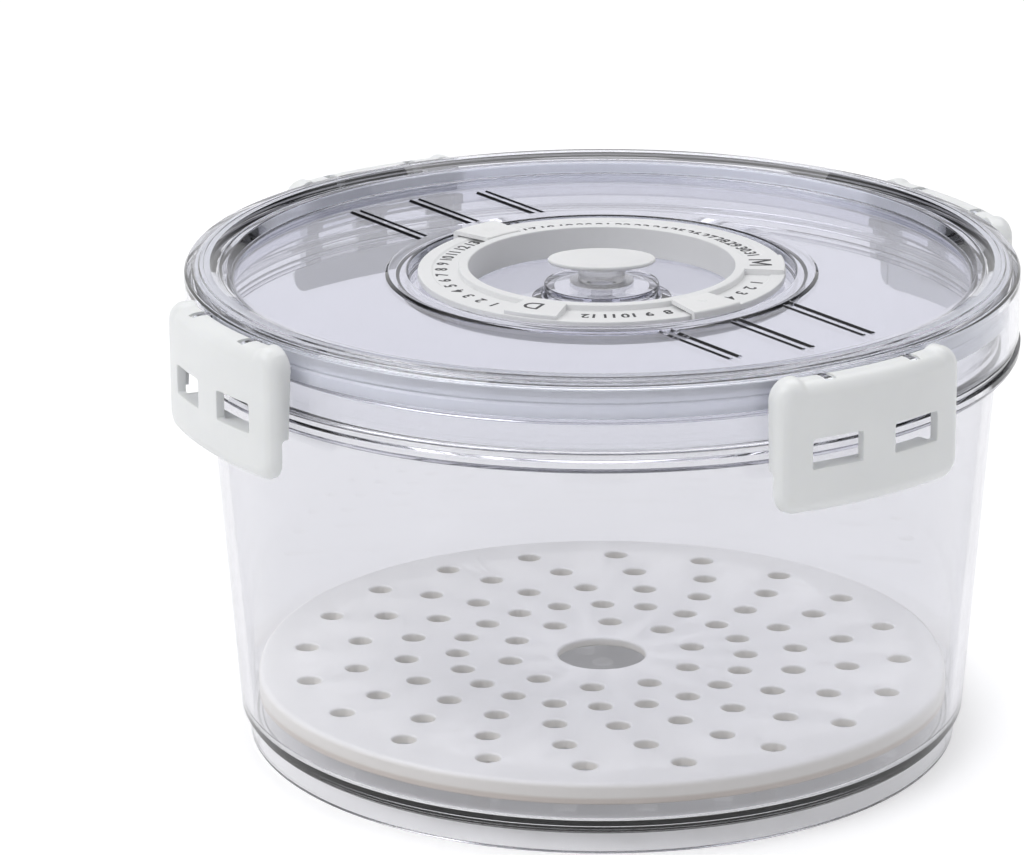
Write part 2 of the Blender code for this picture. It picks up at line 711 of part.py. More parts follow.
def drain_holes(group):
    """Cutters for the drain holes, ring by ring from the middle out."""
    shape = bmesh.new()
    depth = PLATE_THICKNESS + 2 * OVERRUN
    for ring, count in enumerate(DRAIN_HOLES_PER_RING):
        for index in range(count):
            angle = DRAIN_FIRST_AZIMUTH + ring * DRAIN_RING_TWIST + math.tau * index / count
            place = Matrix.Rotation(angle, 4, 'Z') @ Matrix.Translation(
                (drain_first_radius + ring * drain_pitch, 0.0, plate_top - PLATE_THICKNESS / 2))
            bmesh.ops.create_cone(shape, cap_ends=True, segments=8, radius1=DRAIN_HOLE_RADIUS,
                                  radius2=DRAIN_HOLE_RADIUS, depth=depth, matrix=place)
    item = new_object("drain_holes", finish_mesh(shape, "drain_holes"), group)
    hide_tool(item)
    return item


def plate_pegs(group):
    """Pegs under the plate, between its two outer rings of holes, that hold it off the floor."""
    shape = bmesh.new()
    bottom = floor_top + SEAT_GAP
    top = plate_web_underside + PLATE_THICKNESS / 2
    place_radius = drain_last_radius - drain_pitch / 2
    for index in range(PLATE_PEGS):
        angle = FIRST_PEG_AZIMUTH + math.tau * index / PLATE_PEGS
        place = Matrix.Rotation(angle, 4, 'Z') @ Matrix.Translation(
            (place_radius, 0.0, (bottom + top) / 2))
        bmesh.ops.create_cone(shape, cap_ends=True, segments=6, radius1=PLATE_PEG_RADIUS,
                              radius2=PLATE_PEG_RADIUS, depth=top - bottom, matrix=place)
    item = new_object("plate_pegs", finish_mesh(shape, "plate_pegs"), group)
    hide_tool(item)
    return item


def build_plate(group, tools, finish):
    """Perforated plate with a finger hole, a turned-down rim and pegs."""
    rim_inner = plate_radius - PLATE_RIM_WALL
    profile = [(PLATE_FINGER_RADIUS + PLATE_ROUND / 2, plate_top)]
    profile += arc(plate_radius - PLATE_ROUND, plate_top - PLATE_ROUND, PLATE_ROUND, PLATE_ROUND, 90, 0, 2)
    profile += [
        (plate_radius, plate_underside),
        (rim_inner, plate_underside),
        (rim_inner, plate_web_underside),
        (PLATE_FINGER_RADIUS, plate_web_underside),
        (PLATE_FINGER_RADIUS, plate_top - PLATE_ROUND / 2),
    ]
    plate = turned("drain_plate", profile, group, finish)
    boolean(plate, plate_pegs(tools), 'UNION', "Pegs")
    boolean(plate, drain_holes(tools), 'DIFFERENCE', "Holes")
    return plate


def latch_outline():
    """Front view of a latch in arc length and height from its hinge, with raised knuckle corners."""
    half = LATCH_WIDTH / 2
    low_top = HINGE_BAR_RADIUS + EDGE_BREAK / 2
    high_top = KNUCKLE_RADIUS
    bottom = -LATCH_DROP
    inner = half - KNUCKLE_WIDTH
    ramp = high_top - low_top
    right = arc(half - LATCH_CORNER, bottom + LATCH_CORNER, LATCH_CORNER, LATCH_CORNER, -90, 0, 3)
    right += arc(half - LATCH_CORNER, high_top - LATCH_CORNER, LATCH_CORNER, LATCH_CORNER, 0, 90, 3)
    right += [(inner, high_top), (inner - ramp, low_top)]
    left = [(-x, z) for x, z in reversed(right)]
    return right + left


def build_latch_shape(group, tools):
    """One latch about its hinge, X outward and Y along the hinge; the four latches share its mesh."""
    to_hinge = Matrix.Translation((-hinge_radius, 0.0, 0.0))

    panel = new_object("latch_shape", wrapped_panel("latch_shape", latch_outline(), latch_inner_radius,
                                                    latch_radius, LATCH_EDGE_ROUND, 7), group)
    panel.data.transform(to_hinge)

    half = LATCH_WIDTH / 2
    additions = []
    hook_top = FLANGE_UNDERSIDE - HOOK_DIP - hinge_height
    hook_bottom = hook_top - HOOK_THICKNESS
    panel_middle = latch_radius - LATCH_SKIN / 2
    cheek_top = -EDGE_BREAK
    cheek_inner = latch_inner_radius - CHEEK_DEPTH
    cheek_section = [(cheek_inner, cheek_top), (cheek_inner + CHEEK_TAPER, hook_top),
                     (panel_middle, hook_top), (panel_middle, cheek_top)]
    cheek_place = (half - CHEEK_WALL) / latch_radius
    for side in (-1, 1):
        cheek = new_object("cheek", arc_sweep("cheek", cheek_section, CHEEK_WALL / latch_radius, 1), tools)
        cheek.matrix_basis = to_hinge @ Matrix.Rotation(side * cheek_place, 4, 'Z')
        additions.append(cheek)

    hook_inner = flange_radius + SEAT_GAP
    window_far = WINDOW_MULLION / 2 + WINDOW_WIDTH
    hook_section = [
        (hook_inner, hook_top - HOOK_THICKNESS / 3),
        (hook_inner + HOOK_THICKNESS / 4, hook_top),
        (panel_middle, hook_top),
        (panel_middle, hook_bottom),
        (latch_inner_radius, hook_bottom),
    ]
    hook = new_object("hook", arc_sweep("hook", hook_section, 2 * window_far / latch_radius, 4), tools)
    hook.matrix_basis = to_hinge
    additions.append(hook)

    knuckle_outer = half - LATCH_CORNER / 2
    knuckle_inner = half - KNUCKLE_WIDTH
    bar_end = knuckle_inner + KNUCKLE_WIDTH / 4
    web_top = HINGE_BAR_RADIUS - EDGE_BREAK / 2
    additions.append(rod("bar", HINGE_BAR_RADIUS, -bar_end, bar_end, tools))
    for side in (-1, 1):
        additions.append(rod("knuckle", KNUCKLE_RADIUS - EDGE_BREAK / 4, side * knuckle_inner,
                             side * knuckle_outer, tools, centre_x=-KNUCKLE_SET_BACK))
    web_reach = math.sqrt(latch_inner_radius ** 2 - CLAW_PLACE ** 2) - hinge_radius + LATCH_SKIN / 2
    additions.append(block("web", (0.0, -CLAW_PLACE, -web_top), (web_reach, CLAW_PLACE, web_top), tools))

    for index, addition in enumerate(additions):
        hide_tool(addition)
        boolean(panel, addition, 'UNION', f"Part {index}")

    window_low = hook_top + EDGE_BREAK
    window_points = rounded_rectangle(-WINDOW_WIDTH / 2, WINDOW_WIDTH / 2, window_low,
                                      window_low + WINDOW_HEIGHT, WINDOW_CORNER, 1)
    cutters = []
    for side in (-1, 1):
        window = new_object("window", wrapped_panel("window", window_points, latch_inner_radius - OVERRUN,
                                                    latch_radius + OVERRUN, 0.0, 3), tools)
        turn = side * (WINDOW_MULLION + WINDOW_WIDTH) / 2 / latch_radius
        window.matrix_basis = to_hinge @ Matrix.Rotation(turn, 4, 'Z')
        cutters.append(window)
    claw_outer = HINGE_PIN_RADIUS + SEAT_GAP + CLAW_WALL
    slot = claw_outer + SEAT_GAP
    slot_half = CLAW_WIDTH / 2 + SLIDE_GAP
    for side in (-1, 1):
        middle = side * CLAW_PLACE
        cutters.append(block("slot", (-slot - OVERRUN, middle - slot_half, -slot),
                             (slot, middle + slot_half, slot + OVERRUN), tools))
    for index, cutter in enumerate(cutters):
        hide_tool(cutter)
        boolean(panel, cutter, 'DIFFERENCE', f"Cut {index}")
    pins = []
    for side in (-1, 1):
        start = side * (CLAW_PLACE - slot_half - HINGE_PIN_RADIUS)
        end = side * (CLAW_PLACE + slot_half + HINGE_PIN_RADIUS)
        pins.append(rod("pin", HINGE_PIN_RADIUS, start, end, tools))
    boolean(panel, joined("hinge_pins", pins, tools), 'UNION', "Pins")
    return panel


def build_latches(group, tools, finish):
    shape = build_latch_shape(tools, tools)
    bpy.context.view_layer.update()
    graph = bpy.context.evaluated_depsgraph_get()
    mesh = bpy.data.meshes.new_from_object(shape.evaluated_get(graph))
    mesh.name = "latch"
    hide_tool(shape)
    tidy_mesh(mesh)
    mesh.materials.clear()
    mesh.materials.append(finish)
    mesh.shade_smooth()
    mesh.set_sharp_from_angle(angle=SHADE_ANGLE)
    latches = []
    for index, name in enumerate(("front_right", "back_right", "back_left", "front_left")[:LATCH_COUNT]):
        latch = bpy.data.objects.new("latch_" + name, mesh)
        group.objects.link(latch)
        latch.location = hinge_matrix(index).to_translation()
        latch.rotation_euler.z = latch_azimuth(index)
        latches.append(latch)
    return latches


def main():
    clear_scene()
    keeper = new_collection("cheese_keeper")
    tools = new_collection("cutters")

    clear_tub = material("clear_plastic_tub", (0.93, 0.93, 0.97), 0.03, transmission=1.0, ior=1.57)
    clear_lid = material("clear_plastic_lid", (0.93, 0.93, 0.97), 0.03, transmission=1.0, ior=1.57)
    plate_white = material("plate_white", (0.84, 0.85, 0.86), 0.5)
    dial_white = material("dial_white", (0.86, 0.87, 0.87), 0.42)
    marker_white = material("marker_white", (0.87, 0.88, 0.87), 0.42)
    latch_white = material("latch_white", (0.84, 0.86, 0.86), 0.40)
    seal_silicone = material("seal_silicone", (0.78, 0.81, 0.88), 0.40, transmission=0.5, ior=1.41)
    vent_silicone = material("vent_silicone", (0.90, 0.91, 0.92), 0.45, transmission=0.2, ior=1.41)

    tub = build_tub(keeper, clear_tub)
    plate = build_plate(keeper, tools, plate_white)
    plate.parent = tub

    lid = build_lid(keeper, tools, clear_lid)
    seal = build_seal(keeper, seal_silicone)
    dial = build_dial(keeper, tools, dial_white)
    mesh = marker_mesh()
    day = build_marker("day_slider", DAY_MARKER_AZIMUTH, mesh, keeper, tools, marker_white, 12)
    month = build_marker("month_slider", MONTH_MARKER_AZIMUTH, mesh, keeper, tools, marker_white, 3)
    vent = build_vent(keeper, tools, vent_silicone)
    latches = build_latches(keeper, tools, latch_white)
    for piece in (seal, dial, day, month, vent, *latches):
        piece.parent = lid
    bpy.context.view_layer.update()


main()
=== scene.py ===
"""Looks of the cheese keeper: clear moulded tub and lid, white plate, dial, vent and latches.

Metres, +Z up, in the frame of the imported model. -Y is the front.
"""
import math

import bmesh
import bpy
from mathutils import Matrix, Vector


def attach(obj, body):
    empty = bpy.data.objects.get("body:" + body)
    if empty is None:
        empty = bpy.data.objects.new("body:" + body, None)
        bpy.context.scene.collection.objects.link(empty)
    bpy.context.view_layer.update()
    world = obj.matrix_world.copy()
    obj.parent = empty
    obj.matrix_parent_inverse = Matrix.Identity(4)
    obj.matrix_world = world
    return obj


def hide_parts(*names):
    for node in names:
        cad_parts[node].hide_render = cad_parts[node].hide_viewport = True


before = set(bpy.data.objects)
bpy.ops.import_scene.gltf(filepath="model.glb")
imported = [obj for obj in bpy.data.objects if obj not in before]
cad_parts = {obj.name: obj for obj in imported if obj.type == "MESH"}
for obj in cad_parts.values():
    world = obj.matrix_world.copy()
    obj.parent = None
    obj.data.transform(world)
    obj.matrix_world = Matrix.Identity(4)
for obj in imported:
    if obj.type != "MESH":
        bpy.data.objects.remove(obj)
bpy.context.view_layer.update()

MM = 0.001
WELD = 0.00001

# Roundings of corners, from the keenest to the fullest
KEEN = 0.1 * MM
CRISP = 0.15 * MM
SLIGHT = 0.2 * MM
EASED = 0.3 * MM
SOFT = 0.4 * MM
ROUND = 0.5 * MM
FULL = 0.6 * MM
BROAD = 0.8 * MM

# Tub
FOOT_RADIUS = 0.0780
FOOT_HEIGHT = 0.0047
FOOT_WALL = 0.0022
CORNER_TOP = FOOT_HEIGHT + 0.0030
WALL_LOW_RADIUS = 0.0799
WALL_TOP_RADIUS = 0.0857
TUB_WALL = 0.0025
FLOOR_TOP = 0.0071
FLOOR_FILLET = 0.0024
FLANGE_UNDERSIDE = 0.0873
FLANGE_TOP = 0.0912
FLANGE_RADIUS = 0.0903
FLANGE_STEP = 0.0006
FLANGE_UPPER_SHARE = 0.3
FLANGE_LOWER_SHARE = 0.25
GROOVE_DEPTH = 0.3 * MM
GROOVE_SLOPE = 0.3 * MM
RIM_TOP = 0.0978
# Small steps down the lower corner, in mm: in from the wall, down from the corner's top, rounding
CORNER_STEPS = (
    (-0.02, -0.4, 0.3), (0.08, 0.65, 0.04), (0.58, 1.07, 0.04), (0.63, 1.57, 0.04),
    (1.13, 1.99, 0.04), (1.18, 2.39, 0.04), (1.68, 2.81, 0.04))

# Lid
LID_RADIUS = 0.0900
SKIRT_BOTTOM = 0.0915
SKIRT_WALL = 0.0021
SHOULDER = 0.1049
CROWN = 0.1067
CROWN_OUTER = 0.0866
CROWN_INNER = 0.0844
RIM_STEP = 0.0882
LEDGE = 0.1055
LEDGE_OUTER = 0.0818
LEDGE_INNER = 0.0805
LEDGE_SLOPE = 0.8 * MM
LID_TOP = 0.1030
LID_PLATE = 0.0021
CHANNEL_ROOF = 0.1046
PLUG_OUTER = 0.0826
PLUG_INNER = 0.0805
PLUG_BOTTOM = 0.0956
BEAD_INNER = 0.0420
BEAD_OUTER = 0.0467
BEAD_SLOPE = 0.6 * MM
BEAD_TOP = 0.1035
DIAL_CHANNEL_FLOOR = 0.1004
SEAT_RIDGE_RADIUS = 0.0332
SEAT_RIDGE_TOP = 0.1018
WELL_RADIUS = 0.0310
WELL_FLOOR = 0.0976
PLATFORM_RADIUS = 0.0124
PLATFORM_TOP = 0.1004
PLATFORM_DRAFT = 0.3 * MM
PLATFORM_FOOT = 0.7 * MM
PLATFORM_FLARE = 0.0026
VENT_HOLE_RADIUS = 0.0026
# Steps over the rim: a radius, then in mm out from it, down from the crown, and the rounding
RIM_STEPS = (
    (CROWN_INNER, 0.0, 0.1, 0.3), (CROWN_OUTER, -0.9, 0.1, 0.05), (CROWN_OUTER, -0.8, 0.0, 0.05),
    (CROWN_OUTER, 0.0, 0.0, 0.1), (CROWN_OUTER, 0.25, 0.3, 0.1), (RIM_STEP, -0.1, 0.36, 0.1),
    (RIM_STEP, 0.15, 0.7, 0.1), (LID_RADIUS, -0.6, 0.78, 0.2), (LID_RADIUS, -0.1, 1.5, 0.5))

# Bars on the lid: each is two ridges, given by their place in the bar's spacing, width and rise
BAR_AZIMUTH = math.radians(-53.0)
BAR_PITCH = 0.0160
BAR_SPACING = 0.0024
BAR_OVERLAP = 2.0 * MM
BAR_ROOT = 0.5 * MM
BAR_CREST = 0.15 * MM
BAR_ENDS = (0.0664, 0.0702, 0.0703)
BAR_RIDGES = ((0.5, 0.0014, 0.00042), (-0.5, 0.0011, 0.0003))

# Seal
SEAL_INNER = 0.0829
SEAL_OUTER = 0.0876
SEAL_BOTTOM = 0.0981
SEAL_TOP = 0.1043
SEAL_GROOVE = 0.5 * MM

# Dial and markers
DIAL_BORE = 0.0288
DIAL_SLEEVE = 0.0306
DIAL_SLEEVE_BOTTOM = 0.0979
DIAL_LIP_RADIUS = 0.0310
DIAL_LIP = 0.1046
DIAL_FLOOR_RADIUS = 0.0364
DIAL_FLOOR = 0.1033
DIAL_RADIUS = 0.0397
DIAL_EDGE = 0.1036
DIAL_EDGE_SLOPE = 0.4 * MM
DIAL_UNDERSIDE = 0.1021
NUMERAL_RADIUS = 0.0345
LETTER_RADIUS = 0.0342
NUMERAL_SIZE = 0.0037
NUMERAL_STEP = math.radians(7.0)
LETTER_GAP = math.radians(18.25)
MONTH_LETTER_AZIMUTH = math.radians(1.0)
MONTHS = 12
DAYS = 31
LETTER_BLOCK_SPREAD = math.radians(17.4)
LETTER_BLOCK_OVERLAP = 1.1 * MM
LETTER_BLOCK_MARGIN = 0.15 * MM
LETTER_SIZE = 0.0060
LETTER_M_WIDTH = 0.0046
LETTER_M_HEIGHT = 0.0048
LETTER_M_STEM = 0.55 * MM
LETTER_M_STROKE = 0.85 * MM
INK = 0.00004
NUMERAL_WEIGHT = 0.00008
LETTER_WEIGHT = 0.00003
DAY_LETTER_SHIFT = math.radians(-2.2)
MARKER_SPREAD = math.radians(17.0)
MARKER_TOP = 0.1048
MARKER_INNER = 0.0313
MARKER_LEG_INNER = 0.0400
MARKER_RADIUS = 0.0412
MARKER_TOE = 0.0013
MARKER_TOE_TOP = 0.1017
MARKER_BOTTOM = 0.1008
MARKER_UNDER = 0.1039
NOTCH_LOW_RADIUS = 0.4 * MM
NOTCH_TOP_RADIUS = 2.8 * MM
NOTCH_HEIGHT = 1.0 * MM
DAY_MARKER_AZIMUTH = math.radians(134.0)
MONTH_MARKER_AZIMUTH = math.radians(-53.5)

# Vent plug
VENT_SEAT = 0.1007
VENT_HEAD_WIDTH = 0.0232
VENT_HEAD_DEPTH = 0.0152
VENT_HEAD_FLAT = 0.75
VENT_HEAD_FOOT = 0.85
VENT_HEAD_BOTTOM = 0.1048
VENT_HEAD_TOP = 0.1062
VENT_NECK_RADIUS = 0.0052
VENT_SKIRT_RADIUS = 0.0070
VENT_SKIRT_THICKNESS = 0.2 * MM
VENT_STEM_RADIUS = 0.0023
VENT_BULB_RADIUS = 0.0038
VENT_BULB_TOP = 0.0950
VENT_BULB_RIM = 0.8 * MM
VENT_BULB_BOTTOM = 0.0928

# Drain plate
PLATE_RADIUS = 0.07603
PLATE_TOP = 0.0153
PLATE_UNDERSIDE = 0.0106
PLATE_WEB = 0.0133
PLATE_RIM_WALL = 0.0018
PLATE_RIM_ROUND = 1.3 * MM
PLATE_FINGER_RADIUS = 0.0097
DRAIN_HOLE_RADIUS = 0.0026
DRAIN_FIRST_RADIUS = 0.0206
DRAIN_LAST_RADIUS = 0.06573
DRAIN_HOLES_PER_RING = (10, 20, 20, 20, 20)
DRAIN_FIRST_AZIMUTH = math.radians(84.45)
DRAIN_RING_TWIST = math.radians(5.15)
# The tool that cuts a hole, in mm: out from the hole's wall, and up from the plate's top
DRAIN_HOLE_EDGE = ((0.45, 1.0), (0.45, 0.01), (0.17, -0.1), (0.03, -0.28), (0.0, -0.5))
CUT_CLEARANCE = 1.0 * MM
PEG_PLACE_RADIUS = 0.0601
PEG_RADIUS = 0.0020
PEG_BOTTOM = 0.0074
PEGS = 6
FIRST_PEG_AZIMUTH = math.radians(5.0)

# Latches
LATCH_NAMES = ("front_right", "back_right", "back_left", "front_left")
FIRST_LATCH_AZIMUTH = math.radians(-54.4)
LATCH_PAIR_SPREAD = math.radians(86.2)
LATCH_WIDTH = 0.0481
LATCH_RADIUS = 0.0963
LATCH_SKIN = 0.0019
LATCH_DROP = 0.0261
LATCH_CORNER = 0.0048
LATCH_ROUND = 0.0033
LATCH_ROUND_STEPS = 8
LATCH_BACK = 0.0909
LATCH_BACK_EDGE = ((0.0, 0.5 * MM), (0.15 * MM, 0.15 * MM), (0.5 * MM, 0.0))
HINGE_RADIUS = 0.0920
HINGE_HEIGHT = 0.1035
BAR_ROD_RADIUS = 0.00155
PIN_RADIUS = 0.0009
PIN_GRIP = 1.0 * MM
KNUCKLE_RADIUS = 0.0024
KNUCKLE_WIDTH = 0.0050
KNUCKLE_RAMP = 2.0 * MM
KNUCKLE_STEPS = 5
CLAW_WIDTH = 0.0022
CLAW_PLACE = 0.0108
CLAW_HOLE = 0.0010
CLAW_OUTER = 0.00135
CLAW_MOUTH = 38
SLOT_GAP = 0.15 * MM
SLOT_SIDE_GAP = 0.2 * MM
SLOT_OUTER_GAP = 0.3 * MM
SLOT_INWARDS = 3.0 * MM
SLOT_DOWN = 1.5 * MM
SLOT_UP = 2.0 * MM
WINDOW_WIDTH = 0.0118
WINDOW_HEIGHT = 0.0062
WINDOW_MULLION = 0.0084
WINDOW_SILL = 0.4 * MM
# A window's walls, outwards: the place from the latch's face, and how far they are drawn in
WINDOW_FLARE = (
    (-0.6 * MM, 0.0), (-0.15 * MM, -0.12 * MM), (0.05 * MM, -0.5 * MM), (1.0 * MM, -0.6 * MM))
HOOK_TOP = -0.01675
HOOK_THICKNESS = 0.0024
HOOK_INNER = 0.0906
CHEEK_WALL = 0.0022
PANEL_LEDGE = 1.0 * MM
PANEL_RELIEF = 0.5 * MM
PANEL_SLOPE = 0.6 * MM
CHEEK_TAPER_TOP = -3.0 * MM
CHEEK_TAPER = (0.4 * MM, 1.3 * MM)
POCKET_ROOF = -BAR_ROD_RADIUS - 0.6 * MM
CUT_DEPTH = 3.0 * MM
CUT_LOW = -30.0 * MM

# How round things are drawn: points round a turn and on a corner's rounding, the share of a side
# that a rounding may take, the angle from which an edge looks sharp, and the pull of large faces
FINE_TURN = 360
SMALL_TURN = 96
HOLE_TURN = 24
PIN_TURN = 20
ROUNDING_STEPS = 4
ROUNDING_REACH = 0.48
SHARP_ANGLE = 35.0
FLAT_FACE_WEIGHT = 90

# Colours
WHITE = (1.0, 1.0, 1.0)
TUB_TINT = (0.811, 0.812, 0.835)
# Painted shade: a darker tint at the tub's edges as they turn from the eye
TUB_EDGE_PAINTED_SHADE = (0.58, 0.58, 0.65)
LID_TINT = (0.745, 0.75, 0.83)
# Painted light: the lid's paler tint over its rim
LID_RIM_PAINTED_LIGHT = (0.87, 0.875, 0.91)
PLATE_WHITE = (0.93, 0.925, 0.91)
# Painted shade: the plate's darker colours down its hole walls and side, and under its rim
PLATE_SIDE_PAINTED_SHADE = (0.86, 0.835, 0.78)
PLATE_UNDER_PAINTED_SHADE = (0.66, 0.59, 0.52)
# Painted shade on the plate further down, in its hole walls and under its rim: a height, the depth
# below it over which the shade comes in, the shaded colour
PLATE_PAINTED_SHADES = (
    (PLATE_TOP - 0.1 * MM, 0.9 * MM, PLATE_SIDE_PAINTED_SHADE),
    (PLATE_WEB - 0.9 * MM, 0.7 * MM, PLATE_UNDER_PAINTED_SHADE))
DIAL_WHITE = (0.80, 0.805, 0.81)
MARKER_WHITE = (0.82, 0.825, 0.825)
LATCH_WHITE = (0.85, 0.865, 0.862)
SEAL_MILKY = (0.93, 0.945, 0.99)
VENT_MILKY = (0.84, 0.845, 0.85)
VENT_CLEAR = (0.99, 0.99, 0.995)
INK_BLACK = (0.012, 0.012, 0.014)
INK_WORN = (0.05, 0.05, 0.055)
FLOOR_WHITE = (0.86, 0.86, 0.865)
FLOOR_SHADE = (0.84, 0.84, 0.845)
ROOM_GREY = (0.42, 0.42, 0.43)

# Optics
CLEAR_IOR = 1.50
WHITE_IOR = 1.49
SILICONE_IOR = 1.41
PLASTIC_SCATTER = (0.0016, 0.0016, 0.0014)
SILICONE_SCATTER = (0.002, 0.002, 0.0018)
EDGE_TURN = (0.70, 0.93)
SHADOW_TINT = 0.05
CLEAR_HAZE = 0.015
NOISE_MIDDLE = (0.3, 0.7)
TUB_FLOW = 25.0
LID_FLOW = 30.0
HAZE_GRAIN = 900.0
PLATE_GRAIN = 2600.0
DIAL_GRAIN = 3200.0
LATCH_GRAIN = 2400.0
SILICONE_GRAIN = 2600.0
INK_GRAIN = 3500.0
SLOW_DRIFT = 60.0
SILICONE_CLOUD = 140.0

# Studio. The ceiling's colours go by height, from eye level to straight up.
CEILING_BANDS = (
    (0.0, WHITE), (0.26, (0.94, 0.94, 0.96)), (0.33, (0.72, 0.72, 0.76)),
    (0.46, (0.16, 0.16, 0.18)), (0.60, (0.16, 0.16, 0.18)), (0.72, (0.85, 0.85, 0.88)))
FLOOR_GLOW = 0.30
FLOOR_REACH = 6.0
FLOOR_DROP = 0.1 * MM
LAMP_AIM = (0.0, 0.0, 0.05)
# Name, place, width and depth, and watts
LAMPS = (
    ("key_left", (-1.1, -0.5, 1.3), (1.2, 1.0), 12.8),
    ("top_back", (0.1, 0.6, 1.5), (1.6, 0.9), 8.4),
    ("fill_right", (1.4, -0.7, 0.8), (1.0, 1.0), 3.4))

# Camera, fitted to the rings of holes, the lid's edge and the foot
IMAGE_WIDTH = 1024
FOCAL_PIXELS = 4860.9
SENSOR = 36.0
CAMERA_PLACE = (0.0, -1.0063, 0.4016)
CAMERA_YAW = math.radians(-1.114)
CAMERA_PITCH = math.radians(18.374)
CAMERA_ROLL = math.radians(-0.354)
NEAREST_SEEN = 0.01


class Wire:
    """A node's output. Sums and products of wires and numbers add Math nodes."""

    def __init__(self, finish, socket):
        self.finish = finish
        self.socket = socket

    def maths(self, operation, first, second):
        return self.finish.node("ShaderNodeMath", {"operation": operation}, {0: first, 1: second})

    def __add__(self, other):
        return self.maths('ADD', self, other)

    __radd__ = __add__

    def __mul__(self, other):
        return self.maths('MULTIPLY', self, other)

    __rmul__ = __mul__

    def clamped(self, low, high, to_low=0.0, to_high=1.0):
        """The wire's range from low to high, spread over another range and held there."""
        return self.finish.node("ShaderNodeMapRange", {"clamp": True}, {
            "Value": self, "From Min": low, "From Max": high, "To Min": to_low, "To Max": to_high})


class Finish:
    """A node tree that is filled by short calls: a material's, or the world's."""

    def __init__(self, owner):
        self.owner = owner
        owner.use_nodes = True
        self.tree = owner.node_tree

    def node(self, kind, settings=None, inputs=None, output=0):
        made = self.tree.nodes.new(kind)
        for name, value in (settings or {}).items():
            if name == "stops":
                self.set_stops(made.color_ramp, value)
            else:
                setattr(made, name, value)
        for name, value in (inputs or {}).items():
            self.feed(made.inputs[name], value)
        return Wire(self, made.outputs[output])

    def set_stops(self, ramp, stops):
        while len(ramp.elements) < len(stops):
            ramp.elements.new(1.0)
        for element, (place, colour) in zip(ramp.elements, stops):
            element.position = place
            element.color = (*colour, 1.0)

    def feed(self, socket, value):
        if isinstance(value, Wire):
            self.tree.links.new(value.socket, socket)
        elif socket.type == 'RGBA' and len(value) == 3:
            socket.default_value = (*value, 1.0)
        else:
            socket.default_value = value

    def blend(self, factor, first, second):
        """A colour between two colours."""
        return self.node("ShaderNodeMix", {"data_type": 'RGBA'},
                         {"Factor": factor, 6: first, 7: second}, output=2)

    def place(self):
        return self.node("ShaderNodeTexCoord", output="Object")

    def noise(self, scale, detail=2.0, roughness=0.5):
        return self.node("ShaderNodeTexNoise", {}, {
            "Vector": self.place(), "Scale": scale, "Detail": detail, "Roughness": roughness})

    def bump(self, height, strength, distance):
        return self.node("ShaderNodeBump", {}, {
            "Height": height, "Strength": strength, "Distance": distance})

    def surface(self, **inputs):
        """The material's Principled shader with these sockets set, underscores for spaces."""
        shader = self.tree.nodes["Principled BSDF"]
        for name, value in inputs.items():
            self.feed(shader.inputs[name.replace("_", " ")], value)
        return Wire(self, shader.outputs[0])

    def show(self, shader):
        output = next(node for node in self.tree.nodes
                      if node.bl_idname.startswith("ShaderNodeOutput"))
        self.tree.links.new(shader.socket, output.inputs["Surface"])


def toned(colour, share):
    """A colour made darker or paler by a share, and no brighter than white."""
    return tuple(min(1.0, part * share) for part in colour)


def clear_plastic(name, tint, flow, rim=None, edge=None):
    """Clear moulded plastic: polished, with faint flow lines. Lamps shine through it.

    rim holds two radii, between which the tint changes, and the paler tint outside them: painted
    light on the rim. edge is painted shade: the darker tint where the surface turns away from the
    eye.
    """
    finish = Finish(bpy.data.materials.new(name))
    swirl = finish.noise(flow, detail=3.0)
    haze = finish.noise(HAZE_GRAIN, detail=1.0)
    tone = finish.blend(swirl.clamped(*NOISE_MIDDLE), tint, toned(tint, 0.985))
    # Painted light: a paler tint over the rim, which lightens the dark band that reflections leave
    # there.
    if rim:
        inside, outside, rim_painted_light = rim
        flat = finish.node("ShaderNodeVectorMath", {"operation": 'MULTIPLY'},
                           {0: finish.place(), 1: (1.0, 1.0, 0.0)})
        radius = finish.node("ShaderNodeVectorMath", {"operation": 'LENGTH'}, {0: flat},
                             output="Value")
        tone = finish.blend(radius.clamped(inside, outside), tone, rim_painted_light)
    # Painted shade: a darker tint where the surface turns from the eye, for the dark edges of clear
    # plastic.
    if edge:
        away = finish.node("ShaderNodeLayerWeight", {}, {"Blend": 0.5}, output="Facing")
        tone = finish.blend(away.clamped(*EDGE_TURN), tone, edge)
    shader = finish.surface(
        Base_Color=tone,
        Roughness=haze.clamped(0.35, 0.75, 0.0, CLEAR_HAZE),
        Normal=finish.bump(swirl, 0.012, 0.2 * MM),
        Transmission_Weight=1.0, IOR=CLEAR_IOR)
    through = finish.node("ShaderNodeBsdfTransparent", {},
                          {"Color": tuple(part ** SHADOW_TINT for part in tint)})
    shadow = finish.node("ShaderNodeLightPath", output="Is Shadow Ray")
    finish.show(finish.node("ShaderNodeMixShader", {}, {"Fac": shadow, 1: shader, 2: through}))
    return finish.owner


def white_plastic(name, colour, roughness, grain, soft=0.0, low=()):
    """Moulded white plastic: a fine spark-eroded grain, and a slow drift in tone and gloss.

    low holds, for each band of painted shade, a height, the depth below it over which the shade
    comes in, and the shaded colour further down.
    """
    finish = Finish(bpy.data.materials.new(name))
    drift = finish.noise(SLOW_DRIFT, detail=3.0)
    fine = finish.noise(grain, roughness=0.6)
    tone = finish.blend(drift.clamped(0.35, 0.65), colour, toned(colour, 0.965))
    # Painted shade: the colour darkens further down, where hole walls and undersides lie in shade.
    for height, depth, painted_shade_colour in low:
        up = finish.node("ShaderNodeSeparateXYZ", {}, {"Vector": finish.place()}, output="Z")
        tone = finish.blend(up.clamped(height - depth, height), painted_shade_colour, tone)
    finish.surface(
        Base_Color=tone,
        Roughness=(drift * 0.08 + fine * 0.06) + (roughness - 0.07),
        Normal=finish.bump(fine, 0.12, 0.05 * MM),
        Subsurface_Weight=soft, Subsurface_Radius=PLASTIC_SCATTER, IOR=WHITE_IOR)
    return finish.owner


